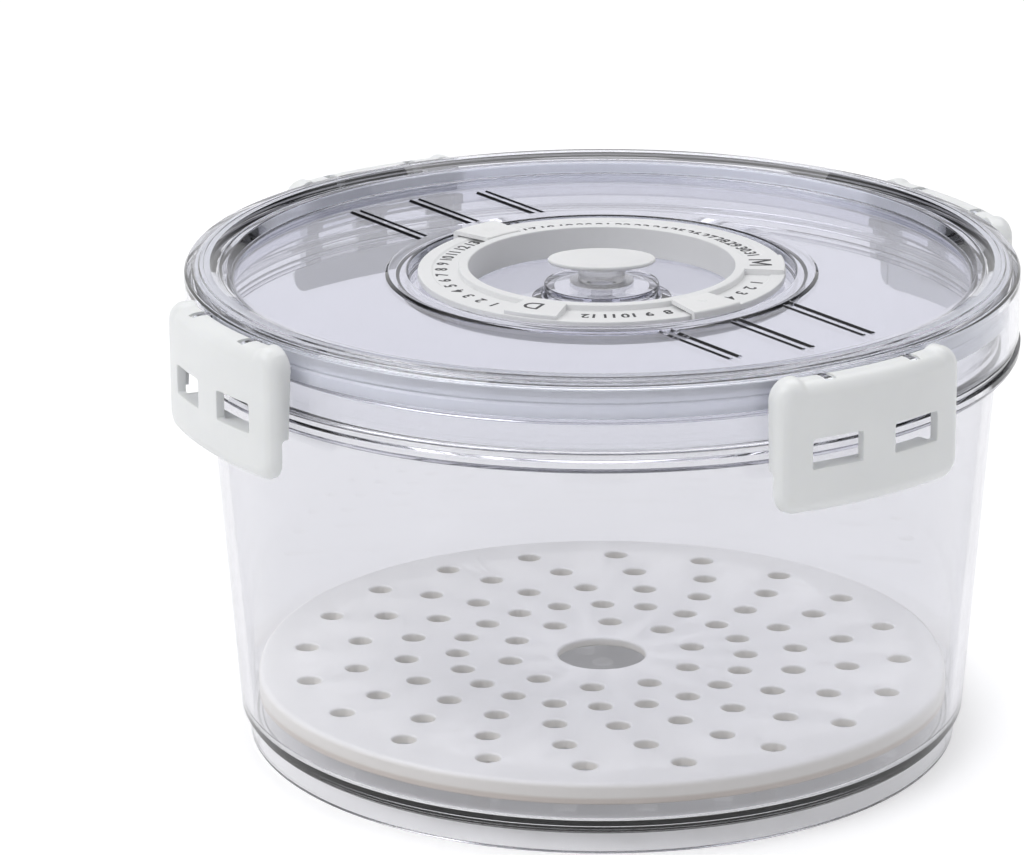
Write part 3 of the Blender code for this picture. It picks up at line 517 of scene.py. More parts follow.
def silicone(name, colour, clarity, roughness, soft=0.0):
    """Milky silicone rubber with a faint dusty grain."""
    finish = Finish(bpy.data.materials.new(name))
    cloud = finish.noise(SILICONE_CLOUD, detail=3.0)
    fine = finish.noise(SILICONE_GRAIN)
    finish.surface(
        Base_Color=finish.blend(cloud.clamped(*NOISE_MIDDLE), colour, toned(colour, 1.03)),
        Roughness=cloud * 0.1 + (roughness - 0.05),
        Normal=finish.bump(fine, 0.08, 0.03 * MM),
        Transmission_Weight=clarity, Subsurface_Weight=soft,
        Subsurface_Radius=SILICONE_SCATTER, IOR=SILICONE_IOR)
    return finish.owner


def printed_ink(name):
    """Pad-printed black ink, slightly uneven."""
    finish = Finish(bpy.data.materials.new(name))
    patches = finish.noise(INK_GRAIN)
    finish.surface(Base_Color=finish.blend(patches.clamped(0.3, 0.8), INK_BLACK, INK_WORN),
                   Roughness=patches * 0.2 + 0.4)
    return finish.owner


def softened(corners, closed=True):
    """An outline whose corners (x, z, rounding) are rounded by short curves."""
    points = []
    count = len(corners)
    for index, (x, z, rounding) in enumerate(corners):
        here = Vector((x, z))
        ends = (not closed) and index in (0, count - 1)
        if rounding <= 0.0 or ends:
            points.append((x, z))
            continue
        before = Vector(corners[index - 1][:2]) - here
        after = Vector(corners[(index + 1) % count][:2]) - here
        turn = before.angle(after)
        reach = min(rounding / math.tan(turn / 2), ROUNDING_REACH * before.length,
                    ROUNDING_REACH * after.length)
        start = here + before.normalized() * reach
        end = here + after.normalized() * reach
        for step in range(ROUNDING_STEPS + 1):
            share = step / ROUNDING_STEPS
            point = (1 - share) ** 2 * start + 2 * share * (1 - share) * here + share ** 2 * end
            points.append(tuple(point))
    return points


def arc(centre_x, centre_z, radius, start, end, steps):
    """Points round a centre, angles in degrees."""
    points = []
    for step in range(steps + 1):
        angle = math.radians(start + (end - start) * step / steps)
        points.append((centre_x + radius * math.cos(angle), centre_z + radius * math.sin(angle)))
    return points


def mesh_from(shape, name):
    shape.normal_update()
    bmesh.ops.recalc_face_normals(shape, faces=shape.faces)
    if shape.calc_volume(signed=True) < 0.0:
        bmesh.ops.reverse_faces(shape, faces=shape.faces)
    mesh = bpy.data.meshes.new(name)
    shape.to_mesh(mesh)
    shape.free()
    return mesh


def about_z(radius, angle, height):
    """A point at this radius and angle round Z."""
    return radius * math.cos(angle), radius * math.sin(angle), height


def turned(name, points, closed=True, steps=FINE_TURN):
    """Turn an outline of radius and height about Z."""
    shape = bmesh.new()
    rings = []
    for radius, height in points:
        if radius < WELD:
            rings.append([shape.verts.new((0.0, 0.0, height))] * steps)
            continue
        rings.append([shape.verts.new(about_z(radius, math.tau * step / steps, height))
                      for step in range(steps)])
    pairs = list(zip(rings, rings[1:]))
    if closed:
        pairs.append((rings[-1], rings[0]))
    for upper, lower in pairs:
        for step in range(steps):
            following = (step + 1) % steps
            corners = [upper[step], lower[step], lower[following], upper[following]]
            unique = [vert for index, vert in enumerate(corners) if vert not in corners[:index]]
            shape.faces.new(unique)
    return mesh_from(shape, name)


def banded(shape, first, second):
    """Add a row of faces between two loops of points."""
    for index in range(len(first)):
        following = (index + 1) % len(first)
        shape.faces.new((first[index], first[following], second[following], second[index]))


def extruded(points, depth):
    """A flat outline in X and Y, made a solid of this depth about z = 0."""
    shape = bmesh.new()
    low = [shape.verts.new((x, y, -depth / 2)) for x, y in points]
    high = [shape.verts.new((x, y, depth / 2)) for x, y in points]
    shape.faces.new(low)
    shape.faces.new(high)
    banded(shape, low, high)
    bmesh.ops.recalc_face_normals(shape, faces=shape.faces)
    return shape


def sliced(shape, axis, low, high, count):
    """Cut a solid by planes across an axis, so that it can bend along it."""
    normal = Vector((0.0, 0.0, 0.0))
    normal[axis] = 1.0
    for step in range(1, count):
        place = Vector((0.0, 0.0, 0.0))
        place[axis] = low + (high - low) * step / count
        geometry = shape.verts[:] + shape.edges[:] + shape.faces[:]
        bmesh.ops.bisect_plane(shape, geom=geometry, plane_co=place, plane_no=normal, dist=WELD)


def arc_sweep(name, points, spread, count):
    """Sweep an outline of radius and height about Z through an angle centred on +X."""
    shape = extruded(points, spread)
    sliced(shape, 2, -spread / 2, spread / 2, count)
    for vert in shape.verts:
        radius, height, angle = vert.co
        vert.co = about_z(radius, angle, height)
    return mesh_from(shape, name)


def wrapped(name, outline, stations, count):
    """Stack outlines of arc length and height along the radius, then wrap them round Z.

    outline gives the points when drawn in by a distance. Stations are pairs of radius and distance.
    """
    shape = bmesh.new()
    loops = [[shape.verts.new((x, z, radius)) for x, z in outline(inset)]
             for radius, inset in stations]
    shape.faces.new(loops[0])
    shape.faces.new(loops[-1])
    for inner, outer in zip(loops, loops[1:]):
        banded(shape, inner, outer)
    widths = [vert.co.x for vert in shape.verts]
    sliced(shape, 0, min(widths), max(widths), count)
    for vert in shape.verts:
        along, height, radius = vert.co
        vert.co = about_z(radius, along / LATCH_RADIUS, height)
    return mesh_from(shape, name)


def rod(radius, start, end, sides):
    """A cylinder along Y."""
    shape = bmesh.new()
    upright = Matrix.Rotation(math.pi / 2, 4, 'X')
    bmesh.ops.create_cone(
        shape, cap_ends=True, segments=sides, radius1=radius, radius2=radius,
        depth=abs(end - start), matrix=Matrix.Translation((0.0, (start + end) / 2, 0.0)) @ upright)
    return mesh_from(shape, "rod")


def block(low, high):
    shape = bmesh.new()
    low, high = Vector(low), Vector(high)
    place = Matrix.Translation((low + high) / 2) @ Matrix.Diagonal((*(high - low), 1.0))
    bmesh.ops.create_cube(shape, size=1.0, matrix=place)
    return mesh_from(shape, "block")


def gathered(name, placed):
    """One mesh from several, each with its own matrix."""
    shape = bmesh.new()
    for mesh, matrix in placed:
        copy = mesh.copy()
        copy.transform(matrix)
        shape.from_mesh(copy)
        bpy.data.meshes.remove(copy)
    mesh = bpy.data.meshes.new(name)
    shape.to_mesh(mesh)
    shape.free()
    return mesh


def put(name, data):
    """A new object in the scene."""
    item = bpy.data.objects.new(name, data)
    bpy.context.scene.collection.objects.link(item)
    return item


def carved(name, mesh, changes):
    """Join meshes to a mesh or cut them from it, in turn, and return the result."""
    item = put(name, mesh)
    tools = []
    for operation, tool_mesh in changes:
        tool = put(name + "_tool", tool_mesh)
        tools.append(tool)
        change = item.modifiers.new("Change", 'BOOLEAN')
        change.operation = operation
        change.solver = 'EXACT'
        change.object = tool
    graph = bpy.context.evaluated_depsgraph_get()
    result = bpy.data.meshes.new_from_object(item.evaluated_get(graph))
    result.name = name
    for thing in [item, *tools]:
        bpy.data.objects.remove(thing)
    result.materials.clear()
    return result


def smooth(mesh, angle=SHARP_ANGLE):
    mesh.shade_smooth()
    mesh.set_sharp_from_angle(angle=math.radians(angle))


def spin(angle):
    """A turn about Z."""
    return Matrix.Rotation(angle, 4, 'Z')


def piece(name, mesh, material, body, replaces=None, matrix=None):
    """Put a finished mesh in the scene on its body, in place of its CAD node."""
    mesh.materials.clear()
    mesh.materials.append(material)
    if matrix is not None:
        mesh.transform(matrix)
    item = put(name, mesh)
    flats = item.modifiers.new("Flats", 'WEIGHTED_NORMAL')
    flats.mode = 'FACE_AREA'
    flats.weight = FLAT_FACE_WEIGHT
    flats.keep_sharp = True
    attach(item, body)
    if replaces:
        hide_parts(replaces)


def wall_radius(height):
    """Outer radius of the tub's tapered wall."""
    widening = WALL_TOP_RADIUS - WALL_LOW_RADIUS
    return WALL_LOW_RADIUS + widening * (height - CORNER_TOP) / (FLANGE_UNDERSIDE - CORNER_TOP)


def make_tub(material):
    """Tub, from the middle of its floor up the wall, over the flange and down to the foot."""
    inner_low = wall_radius(FLOOR_TOP + FLOOR_FILLET) - TUB_WALL
    neck_inner = WALL_TOP_RADIUS - TUB_WALL
    tier_high = FLANGE_TOP - FLANGE_UPPER_SHARE * (FLANGE_TOP - FLANGE_UNDERSIDE)
    tier_low = FLANGE_UNDERSIDE + FLANGE_LOWER_SHARE * (FLANGE_TOP - FLANGE_UNDERSIDE)
    shelf = FLANGE_RADIUS - FLANGE_STEP
    groove = shelf - GROOVE_DEPTH
    foot_inner = FOOT_RADIUS - FOOT_WALL
    corners = [
        (0.0, FLOOR_TOP, 0.0),
        (inner_low - 0.1 * MM, FLOOR_TOP, FLOOR_FILLET),
        (neck_inner, FLANGE_UNDERSIDE, 0.0),
        (neck_inner, RIM_TOP, ROUND),
        (WALL_TOP_RADIUS, RIM_TOP, ROUND),
        (WALL_TOP_RADIUS, FLANGE_TOP, EASED),
        (shelf, FLANGE_TOP, 0.25 * MM),
        (shelf, tier_high + 0.15 * MM, KEEN),
        (groove, tier_high, KEEN),
        (FLANGE_RADIUS, tier_high - GROOVE_SLOPE, CRISP),
        (FLANGE_RADIUS, tier_low + 0.2 * MM, CRISP),
        (groove, tier_low, KEEN),
        (shelf, tier_low - GROOVE_SLOPE, KEEN),
        (shelf, FLANGE_UNDERSIDE, 0.25 * MM),
        (WALL_TOP_RADIUS, FLANGE_UNDERSIDE, ROUND),
    ]
    for inset, drop, rounding in CORNER_STEPS:
        corners.append((WALL_LOW_RADIUS - inset * MM, CORNER_TOP - drop * MM, rounding * MM))
    corners += [
        (FOOT_RADIUS, FOOT_HEIGHT, SLIGHT),
        (FOOT_RADIUS, 0.0, ROUND),
        (foot_inner, 0.0, ROUND),
        (foot_inner, FOOT_HEIGHT, FULL),
        (0.0, FOOT_HEIGHT, 0.0),
    ]
    mesh = turned("tub_clear", softened(corners, closed=False), closed=False)
    smooth(mesh)
    piece("tub_clear", mesh, material, "tub", "tub")


def lid_corners():
    """The lid's section: outwards over its top, down the skirt and back in underneath."""
    skirt_inner = LID_RADIUS - SKIRT_WALL
    underside = LID_TOP - LID_PLATE
    channel_underside = DIAL_CHANNEL_FLOOR - LID_PLATE
    well_underside = WELL_FLOOR - LID_PLATE
    platform_underside = PLATFORM_TOP - LID_PLATE
    rim = [(radius + out * MM, CROWN - drop * MM, rounding * MM)
           for radius, out, drop, rounding in RIM_STEPS]
    return [
        (VENT_HOLE_RADIUS, PLATFORM_TOP, EASED),
        (PLATFORM_RADIUS, PLATFORM_TOP, 0.25 * MM),
        (PLATFORM_RADIUS + PLATFORM_DRAFT, WELL_FLOOR + PLATFORM_DRAFT, SLIGHT),
        (PLATFORM_RADIUS + PLATFORM_FOOT, WELL_FLOOR, SLIGHT),
        (WELL_RADIUS, WELL_FLOOR, ROUND),
        (WELL_RADIUS, SEAT_RIDGE_TOP, SLIGHT),
        (SEAT_RIDGE_RADIUS, SEAT_RIDGE_TOP, SLIGHT),
        (SEAT_RIDGE_RADIUS, DIAL_CHANNEL_FLOOR, EASED),
        (BEAD_INNER, DIAL_CHANNEL_FLOOR, ROUND),
        (BEAD_INNER, BEAD_TOP, SOFT),
        (BEAD_OUTER - BEAD_SLOPE, BEAD_TOP, SOFT),
        (BEAD_OUTER, LID_TOP, SLIGHT),
        (LEDGE_INNER - LEDGE_SLOPE, LID_TOP, 0.7 * MM),
        (LEDGE_INNER, LEDGE, EASED),
        (LEDGE_OUTER, LEDGE, SLIGHT),
        *rim,
        (LID_RADIUS, SHOULDER - 1.0 * MM, FULL),
        (LID_RADIUS, SKIRT_BOTTOM, SOFT),
        (skirt_inner, SKIRT_BOTTOM, SOFT),
        (skirt_inner, CHANNEL_ROOF, SOFT),
        (PLUG_OUTER, CHANNEL_ROOF, SOFT),
        (PLUG_OUTER, PLUG_BOTTOM, ROUND),
        (PLUG_INNER, PLUG_BOTTOM, ROUND),
        (PLUG_INNER, underside, BROAD),
        (BEAD_INNER + LID_PLATE, underside, SOFT),
        (BEAD_INNER + LID_PLATE, channel_underside, FULL),
        (WELL_RADIUS + LID_PLATE, channel_underside, SOFT),
        (WELL_RADIUS + LID_PLATE, well_underside, BROAD),
        (PLATFORM_RADIUS + PLATFORM_FLARE, well_underside, FULL),
        (PLATFORM_RADIUS - LID_PLATE, platform_underside, FULL),
        (VENT_HOLE_RADIUS, platform_underside, EASED),
    ]


def lid_bars():
    """Raised bars from the bead towards the rim, three on each side, as pairs of low ridges."""
    placed = []
    for side in (0, 1):
        for offset, end in zip((-BAR_PITCH, 0.0, BAR_PITCH), BAR_ENDS):
            for place, width, rise in BAR_RIDGES:
                ridge = offset + place * BAR_SPACING
                start = math.sqrt((BEAD_OUTER - BAR_OVERLAP) ** 2 - ridge ** 2)
                half = width / 2
                section = softened([
                    (-half, -BAR_ROOT, 0.0), (half, -BAR_ROOT, 0.0), (half, 0.0, 0.0),
                    (BAR_CREST, rise, 0.12 * MM), (-BAR_CREST, rise, 0.12 * MM), (-half, 0.0, 0.0)])
                along = Matrix(((0, 0, 1, (start + end) / 2), (1, 0, 0, ridge),
                                (0, 1, 0, LID_TOP), (0, 0, 0, 1)))
                turn = spin(BAR_AZIMUTH + math.pi * side)
                placed.append((mesh_from(extruded(section, end - start), "bar"), turn @ along))
    return gathered("lid_bars", placed)


def hinge_matrix(index):
    """A latch's hinge: X points out of the lid and Y runs along the hinge."""
    azimuth = FIRST_LATCH_AZIMUTH + math.pi * (index // 2) + LATCH_PAIR_SPREAD * (index % 2)
    place = Matrix.Translation((HINGE_RADIUS, 0.0, HINGE_HEIGHT))
    return spin(azimuth) @ place


def lid_claws():
    """Open claws on the lid's skirt, two for each latch, that hold its pins."""
    skirt = math.sqrt(LID_RADIUS ** 2 - (CLAW_PLACE + CLAW_WIDTH / 2) ** 2)
    root = skirt - HINGE_RADIUS - SKIRT_WALL / 2
    outline = [(root, CLAW_OUTER), (root, -CLAW_OUTER)]
    outline += arc(0, 0, CLAW_OUTER, -90, -CLAW_MOUTH, steps=6)
    outline += arc(0, 0, CLAW_HOLE, 360 - CLAW_MOUTH, CLAW_MOUTH, steps=24)
    outline += arc(0, 0, CLAW_OUTER, CLAW_MOUTH, 90, steps=6)
    upright = Matrix.Rotation(math.pi / 2, 4, 'X')
    placed = []
    for index in range(len(LATCH_NAMES)):
        for side in (-1, 1):
            claw = mesh_from(extruded(outline, CLAW_WIDTH), "claw")
            along = Matrix.Translation((0.0, side * CLAW_PLACE, 0.0))
            placed.append((claw, hinge_matrix(index) @ along @ upright))
    return gathered("lid_claws", placed)


def make_lid(material):
    mesh = turned("lid_clear", softened(lid_corners()))
    mesh = carved("lid_clear", mesh, [('UNION', lid_bars()), ('UNION', lid_claws())])
    smooth(mesh)
    piece("lid_clear", mesh, material, "lid", "lid")


def make_seal(material):
    """Sealing ring, with a groove round its outer side."""
    middle = (SEAL_BOTTOM + SEAL_TOP) / 2
    corners = [
        (SEAL_INNER, SEAL_TOP, SOFT),
        (SEAL_OUTER, SEAL_TOP, SOFT),
        (SEAL_OUTER, middle + SEAL_GROOVE, SLIGHT),
        (SEAL_OUTER - SEAL_GROOVE, middle, SLIGHT),
        (SEAL_OUTER, middle - SEAL_GROOVE, SLIGHT),
        (SEAL_OUTER, SEAL_BOTTOM, ROUND),
        (SEAL_INNER, SEAL_BOTTOM, ROUND),
    ]
    mesh = turned("seal_ring", softened(corners))
    smooth(mesh)
    piece("seal_ring", mesh, material, "lid", "lid_seal")


def letter_azimuths():
    """Where the month and day letters stand on the dial."""
    month = MONTH_LETTER_AZIMUTH
    return month, month - 2 * LETTER_GAP - (MONTHS - 1) * NUMERAL_STEP


def make_dial(material):
    """Dial ring: a raised lip, a sunk floor for the numerals, and a block under each letter."""
    corners = [
        (DIAL_BORE, DIAL_LIP, 0.35 * MM),
        (DIAL_LIP_RADIUS, DIAL_LIP, 0.35 * MM),
        (DIAL_LIP_RADIUS, DIAL_FLOOR, CRISP),
        (DIAL_FLOOR_RADIUS, DIAL_FLOOR, SLIGHT),
        (DIAL_FLOOR_RADIUS + DIAL_EDGE_SLOPE, DIAL_EDGE, SLIGHT),
        (DIAL_RADIUS, DIAL_EDGE, EASED),
        (DIAL_RADIUS, DIAL_UNDERSIDE, SLIGHT),
        (DIAL_SLEEVE, DIAL_UNDERSIDE, KEEN),
        (DIAL_SLEEVE, DIAL_SLEEVE_BOTTOM, SLIGHT),
        (DIAL_BORE, DIAL_SLEEVE_BOTTOM, EASED),
    ]
    mesh = turned("dial_ring", softened(corners))
    low = (DIAL_UNDERSIDE + DIAL_EDGE) / 2
    inner = DIAL_LIP_RADIUS - LETTER_BLOCK_OVERLAP
    outer = DIAL_RADIUS - LETTER_BLOCK_MARGIN
    section = softened([(inner, low, 0.0), (outer, low, 0.0), (outer, DIAL_LIP, SOFT),
                        (inner, DIAL_LIP, 0.0)])
    blocks = []
    for azimuth in letter_azimuths():
        letter_block = arc_sweep("letter_block", section, LETTER_BLOCK_SPREAD, count=12)
        placed = [(letter_block, spin(azimuth))]
        blocks.append(('UNION', gathered("letter_block", placed)))
    mesh = carved("dial_ring", mesh, blocks)
    smooth(mesh)
    piece("dial_ring", mesh, material, "lid", "date_ring")


def glyph_mesh(text, size, weight):
    """A numeral or letter as a thin solid about the origin, upright along +X, read from above."""
    curve = bpy.data.curves.new("glyph", 'FONT')
    curve.body = text
    curve.size = size
    curve.align_x = 'CENTER'
    curve.align_y = 'CENTER'
    curve.extrude = INK / 2
    curve.offset = weight
    curve.resolution_u = 3
    holder = put("glyph", curve)
    bpy.context.view_layer.update()
    graph = bpy.context.evaluated_depsgraph_get()
    mesh = bpy.data.meshes.new_from_object(holder.evaluated_get(graph))
    bpy.data.objects.remove(holder)
    mesh.transform(spin(-math.pi / 2))
    return mesh


def letter_m():
    """The month letter, with thin slanting strokes, as a thin solid about the origin."""
    half, high = LETTER_M_WIDTH / 2, LETTER_M_HEIGHT / 2
    right = [(0.0, -0.5 * MM), (half - LETTER_M_STROKE, high), (half, high), (half, -high),
             (half - LETTER_M_STEM, -high), (half - LETTER_M_STEM, high - 1.1 * MM),
             (0.2 * MM, -0.75 * high)]
    outline = right + [(-x, y) for x, y in reversed(right[1:])]
    mesh = mesh_from(extruded(outline, INK), "letter_m")
    mesh.transform(spin(-math.pi / 2))
    return mesh


def make_numerals(ink):
    """Days 1 to 31, months 1 to 12 and the two letters, printed on the dial."""
    month_letter, day_letter = letter_azimuths()
    marks = [("M", month_letter), ("D", day_letter + DAY_LETTER_SHIFT)]
    for count, letter in ((DAYS, day_letter), (MONTHS, month_letter)):
        for index in range(count):
            marks.append((str(index + 1), letter - LETTER_GAP - index * NUMERAL_STEP))
    placed = []
    for text, azimuth in marks:
        if text.isalpha():
            radius, height = LETTER_RADIUS, DIAL_LIP
            mesh = letter_m() if text == "M" else glyph_mesh(text, LETTER_SIZE, LETTER_WEIGHT)
        else:
            radius, height = NUMERAL_RADIUS, DIAL_FLOOR
            mesh = glyph_mesh(text, NUMERAL_SIZE, NUMERAL_WEIGHT)
        place = Matrix.Translation((radius, 0.0, height + INK / 2))
        placed.append((mesh, spin(azimuth) @ place))
    numerals = gathered("dial_numerals", placed)
    piece("dial_numerals", numerals, ink, "lid")


def make_marker(name, azimuth, material, notch_sides):
    """A marker that bridges the numerals, with a pressed notch on top."""
    section = softened([
        (MARKER_INNER, MARKER_UNDER, KEEN),
        (MARKER_LEG_INNER, MARKER_UNDER, KEEN),
        (MARKER_LEG_INNER, MARKER_TOE_TOP, 0.0),
        (MARKER_LEG_INNER - MARKER_TOE, MARKER_TOE_TOP, SLIGHT),
        (MARKER_LEG_INNER - MARKER_TOE, MARKER_BOTTOM, SLIGHT),
        (MARKER_RADIUS, MARKER_BOTTOM, SLIGHT),
        (MARKER_RADIUS, MARKER_TOP, FULL),
        (MARKER_INNER, MARKER_TOP, EASED),
    ])
    mesh = arc_sweep(name, section, MARKER_SPREAD, count=16)
    notch = bmesh.new()
    middle = (MARKER_INNER + MARKER_LEG_INNER) / 2
    bmesh.ops.create_cone(notch, cap_ends=True, segments=notch_sides, radius1=NOTCH_LOW_RADIUS,
                          radius2=NOTCH_TOP_RADIUS, depth=NOTCH_HEIGHT,
                          matrix=Matrix.Translation((middle, 0.0, MARKER_TOP)))
    mesh = carved(name, mesh, [('DIFFERENCE', mesh_from(notch, "notch"))])
    smooth(mesh, angle=30.0)
    turn = spin(azimuth)
    piece(name + "_cap", mesh, material, name, name, turn)


def make_vent(head_material, stem_material):
    """Soft plug: an oval head, and below it a neck, a thin skirt, a stem and a bulb."""
    half = VENT_HEAD_WIDTH / 2
    head_corners = [
        (0.0, VENT_HEAD_TOP, 0.0),
        (half * VENT_HEAD_FLAT, VENT_HEAD_TOP - 0.05 * MM, FULL),
        (half, VENT_HEAD_TOP - 0.35 * MM, ROUND),
        (half, VENT_HEAD_BOTTOM + 0.2 * MM, ROUND),
        (half * VENT_HEAD_FOOT, VENT_HEAD_BOTTOM, SOFT),
        (0.0, VENT_HEAD_BOTTOM, 0.0),
    ]
    stem_top = VENT_HEAD_BOTTOM + 0.1 * MM
    stem_corners = [
        (0.0, stem_top, 0.0),
        (VENT_NECK_RADIUS + 0.4 * MM, stem_top, 0.0),
        (VENT_NECK_RADIUS, VENT_HEAD_BOTTOM - 0.7 * MM, FULL),
        (VENT_NECK_RADIUS - 0.2 * MM, VENT_SEAT + 0.35 * MM, EASED),
        (VENT_SKIRT_RADIUS, VENT_SEAT + VENT_SKIRT_THICKNESS, KEEN),
        (VENT_SKIRT_RADIUS - 0.1 * MM, VENT_SEAT, KEEN),
        (VENT_STEM_RADIUS, VENT_SEAT, KEEN),
        (VENT_STEM_RADIUS, VENT_BULB_TOP, KEEN),
        (VENT_BULB_RADIUS, VENT_BULB_TOP, EASED),
        (VENT_BULB_RADIUS, VENT_BULB_TOP - VENT_BULB_RIM, SOFT),
        (VENT_STEM_RADIUS, VENT_BULB_BOTTOM, SOFT),
        (0.0, VENT_BULB_BOTTOM, 0.0),
    ]
    head, stem = [
        turned(name, softened(corners, closed=False), closed=False, steps=SMALL_TURN)
        for name, corners in (("vent_head", head_corners), ("vent_stem_soft", stem_corners))]
    head.transform(Matrix.Diagonal((1.0, VENT_HEAD_DEPTH / VENT_HEAD_WIDTH, 1.0, 1.0)))
    smooth(head)
    smooth(stem)
    piece("vent_head_soft", head, head_material, "vent_plug", "vent_plug")
    piece("vent_stem_soft", stem, stem_material, "vent_plug")


def plate_pegs():
    top = (PLATE_WEB + PLATE_TOP) / 2
    place = Matrix.Translation((PEG_PLACE_RADIUS, 0.0, (PEG_BOTTOM + top) / 2))
    placed = []
    for index in range(PEGS):
        peg = bmesh.new()
        bmesh.ops.create_cone(peg, cap_ends=True, segments=HOLE_TURN, radius1=PEG_RADIUS,
                              radius2=PEG_RADIUS, depth=top - PEG_BOTTOM, matrix=place)
        azimuth = FIRST_PEG_AZIMUTH + math.tau * index / PEGS
        placed.append((mesh_from(peg, "peg"), spin(azimuth)))
    return gathered("pegs", placed)


def drain_holes():
    """The tools that cut the plate's holes, ring by ring, each with a softened upper edge."""
    edge = [(DRAIN_HOLE_RADIUS + out * MM, PLATE_TOP + up * MM) for out, up in DRAIN_HOLE_EDGE]
    bottom = PLATE_WEB - CUT_CLEARANCE
    outline = [(0.0, PLATE_TOP + CUT_CLEARANCE), *edge, (DRAIN_HOLE_RADIUS, bottom), (0.0, bottom)]
    cutter = turned("drain_hole", outline, closed=False, steps=HOLE_TURN)
    rings = len(DRAIN_HOLES_PER_RING)
    placed = []
    for ring, count in enumerate(DRAIN_HOLES_PER_RING):
        radius = DRAIN_FIRST_RADIUS + (DRAIN_LAST_RADIUS - DRAIN_FIRST_RADIUS) * ring / (rings - 1)
        place = Matrix.Translation((radius, 0.0, 0.0))
        for index in range(count):
            azimuth = DRAIN_FIRST_AZIMUTH + ring * DRAIN_RING_TWIST + math.tau * index / count
            placed.append((cutter, spin(azimuth) @ place))
    return gathered("holes", placed)


def make_plate(material):
    """Perforated plate: turned blank, pegs below, and five rings of holes."""
    rim_inner = PLATE_RADIUS - PLATE_RIM_WALL
    corners = [
        (PLATE_FINGER_RADIUS, PLATE_TOP, FULL),
        (PLATE_RADIUS, PLATE_TOP, PLATE_RIM_ROUND),
        (PLATE_RADIUS, PLATE_UNDERSIDE, ROUND),
        (rim_inner, PLATE_UNDERSIDE, SOFT),
        (rim_inner, PLATE_WEB, SOFT),
        (PLATE_FINGER_RADIUS, PLATE_WEB, SOFT),
    ]
    blank = turned("drain_disc", softened(corners))
    changes = [('UNION', plate_pegs()), ('DIFFERENCE', drain_holes())]
    mesh = carved("drain_disc", blank, changes)
    smooth(mesh, angle=40.0)
    piece("drain_disc", mesh, material, "drain_plate", "drain_plate")


def latch_outline(inset):
    """Front view of a latch about its hinge, in arc length and height, with raised knuckles."""
    half = LATCH_WIDTH / 2 - inset
    high = KNUCKLE_RADIUS - inset
    low = BAR_ROD_RADIUS + 0.2 * MM - inset
    bottom = inset - LATCH_DROP
    corner = LATCH_CORNER - inset
    bend = LATCH_WIDTH / 2 - KNUCKLE_WIDTH
    right = arc(half - corner, bottom + corner, corner, -90, 0, steps=8)
    right += arc(half - corner, high - corner, corner, 0, 90, steps=8)
    for step in range(KNUCKLE_STEPS + 1):
        share = step / KNUCKLE_STEPS
        fall = 0.5 + 0.5 * math.cos(math.pi * share)
        right.append((bend - KNUCKLE_RAMP * share, low + (high - low) * fall))
    return right + [(-x, z) for x, z in reversed(right)]


def window_outline(inset):
    """A latch's window about its middle, in arc length and height from the hinge."""
    low = HOOK_TOP + WINDOW_SILL + inset
    high = low + WINDOW_HEIGHT - 2 * inset
    half = WINDOW_WIDTH / 2 - inset
    return softened([(-half, low, ROUND), (half, low, ROUND), (half, high, 0.9 * MM),
                     (-half, high, 0.9 * MM)])


def latch_body():
    """The rounded curved block that a latch is cut from."""
    stations = [(LATCH_BACK + out, inset) for out, inset in LATCH_BACK_EDGE]
    for step in range(LATCH_ROUND_STEPS + 1):
        angle = math.pi / 2 * step / LATCH_ROUND_STEPS
        stations.append((LATCH_RADIUS - LATCH_ROUND * (1 - math.sin(angle)),
                         LATCH_ROUND * (1 - math.cos(angle))))
    return wrapped("latch", latch_outline, stations, count=32)


def latch_hollows():
    """What is cut from behind a latch: pocket, space below the hooks, and the cheeks' backs."""
    inner_face = LATCH_RADIUS - LATCH_SKIN
    spread = 2 * (LATCH_WIDTH / 2 - CHEEK_WALL) / LATCH_RADIUS
    behind = LATCH_BACK - CUT_DEPTH
    taper_start, taper_end = [LATCH_BACK + out for out in CHEEK_TAPER]
    pocket = [(behind, POCKET_ROOF), (inner_face, POCKET_ROOF), (inner_face, CUT_LOW),
              (behind, CUT_LOW)]
    low_face = inner_face - PANEL_RELIEF
    lower = [(behind, HOOK_TOP), (inner_face - PANEL_LEDGE, HOOK_TOP),
             (low_face, HOOK_TOP - PANEL_SLOPE), (low_face, CUT_LOW), (behind, CUT_LOW)]
    back = [(behind, CHEEK_TAPER_TOP), (taper_start, CHEEK_TAPER_TOP), (taper_end, HOOK_TOP),
            (taper_end, CUT_LOW), (behind, CUT_LOW)]
    return [arc_sweep("pocket", pocket, spread, count=24),
            arc_sweep("lower", lower, 2 * spread, count=32),
            arc_sweep("back", back, 2 * spread, count=32)]


def latch_hooks():
    """The ledge behind the windows that snaps under the tub's flange."""
    inner_face = LATCH_RADIUS - LATCH_SKIN
    in_skin = LATCH_RADIUS - LATCH_SKIN / 2
    bottom = HOOK_TOP - HOOK_THICKNESS
    section = softened([
        (HOOK_INNER, HOOK_TOP - HOOK_THICKNESS / 3, EASED),
        (HOOK_INNER + HOOK_THICKNESS / 4, HOOK_TOP, EASED),
        (in_skin, HOOK_TOP, 0.0),
        (in_skin, bottom, 0.0),
        (inner_face, bottom, 0.0)])
    spread = 2 * (WINDOW_MULLION / 2 + WINDOW_WIDTH) / LATCH_RADIUS
    return arc_sweep("hook", section, spread, count=16)


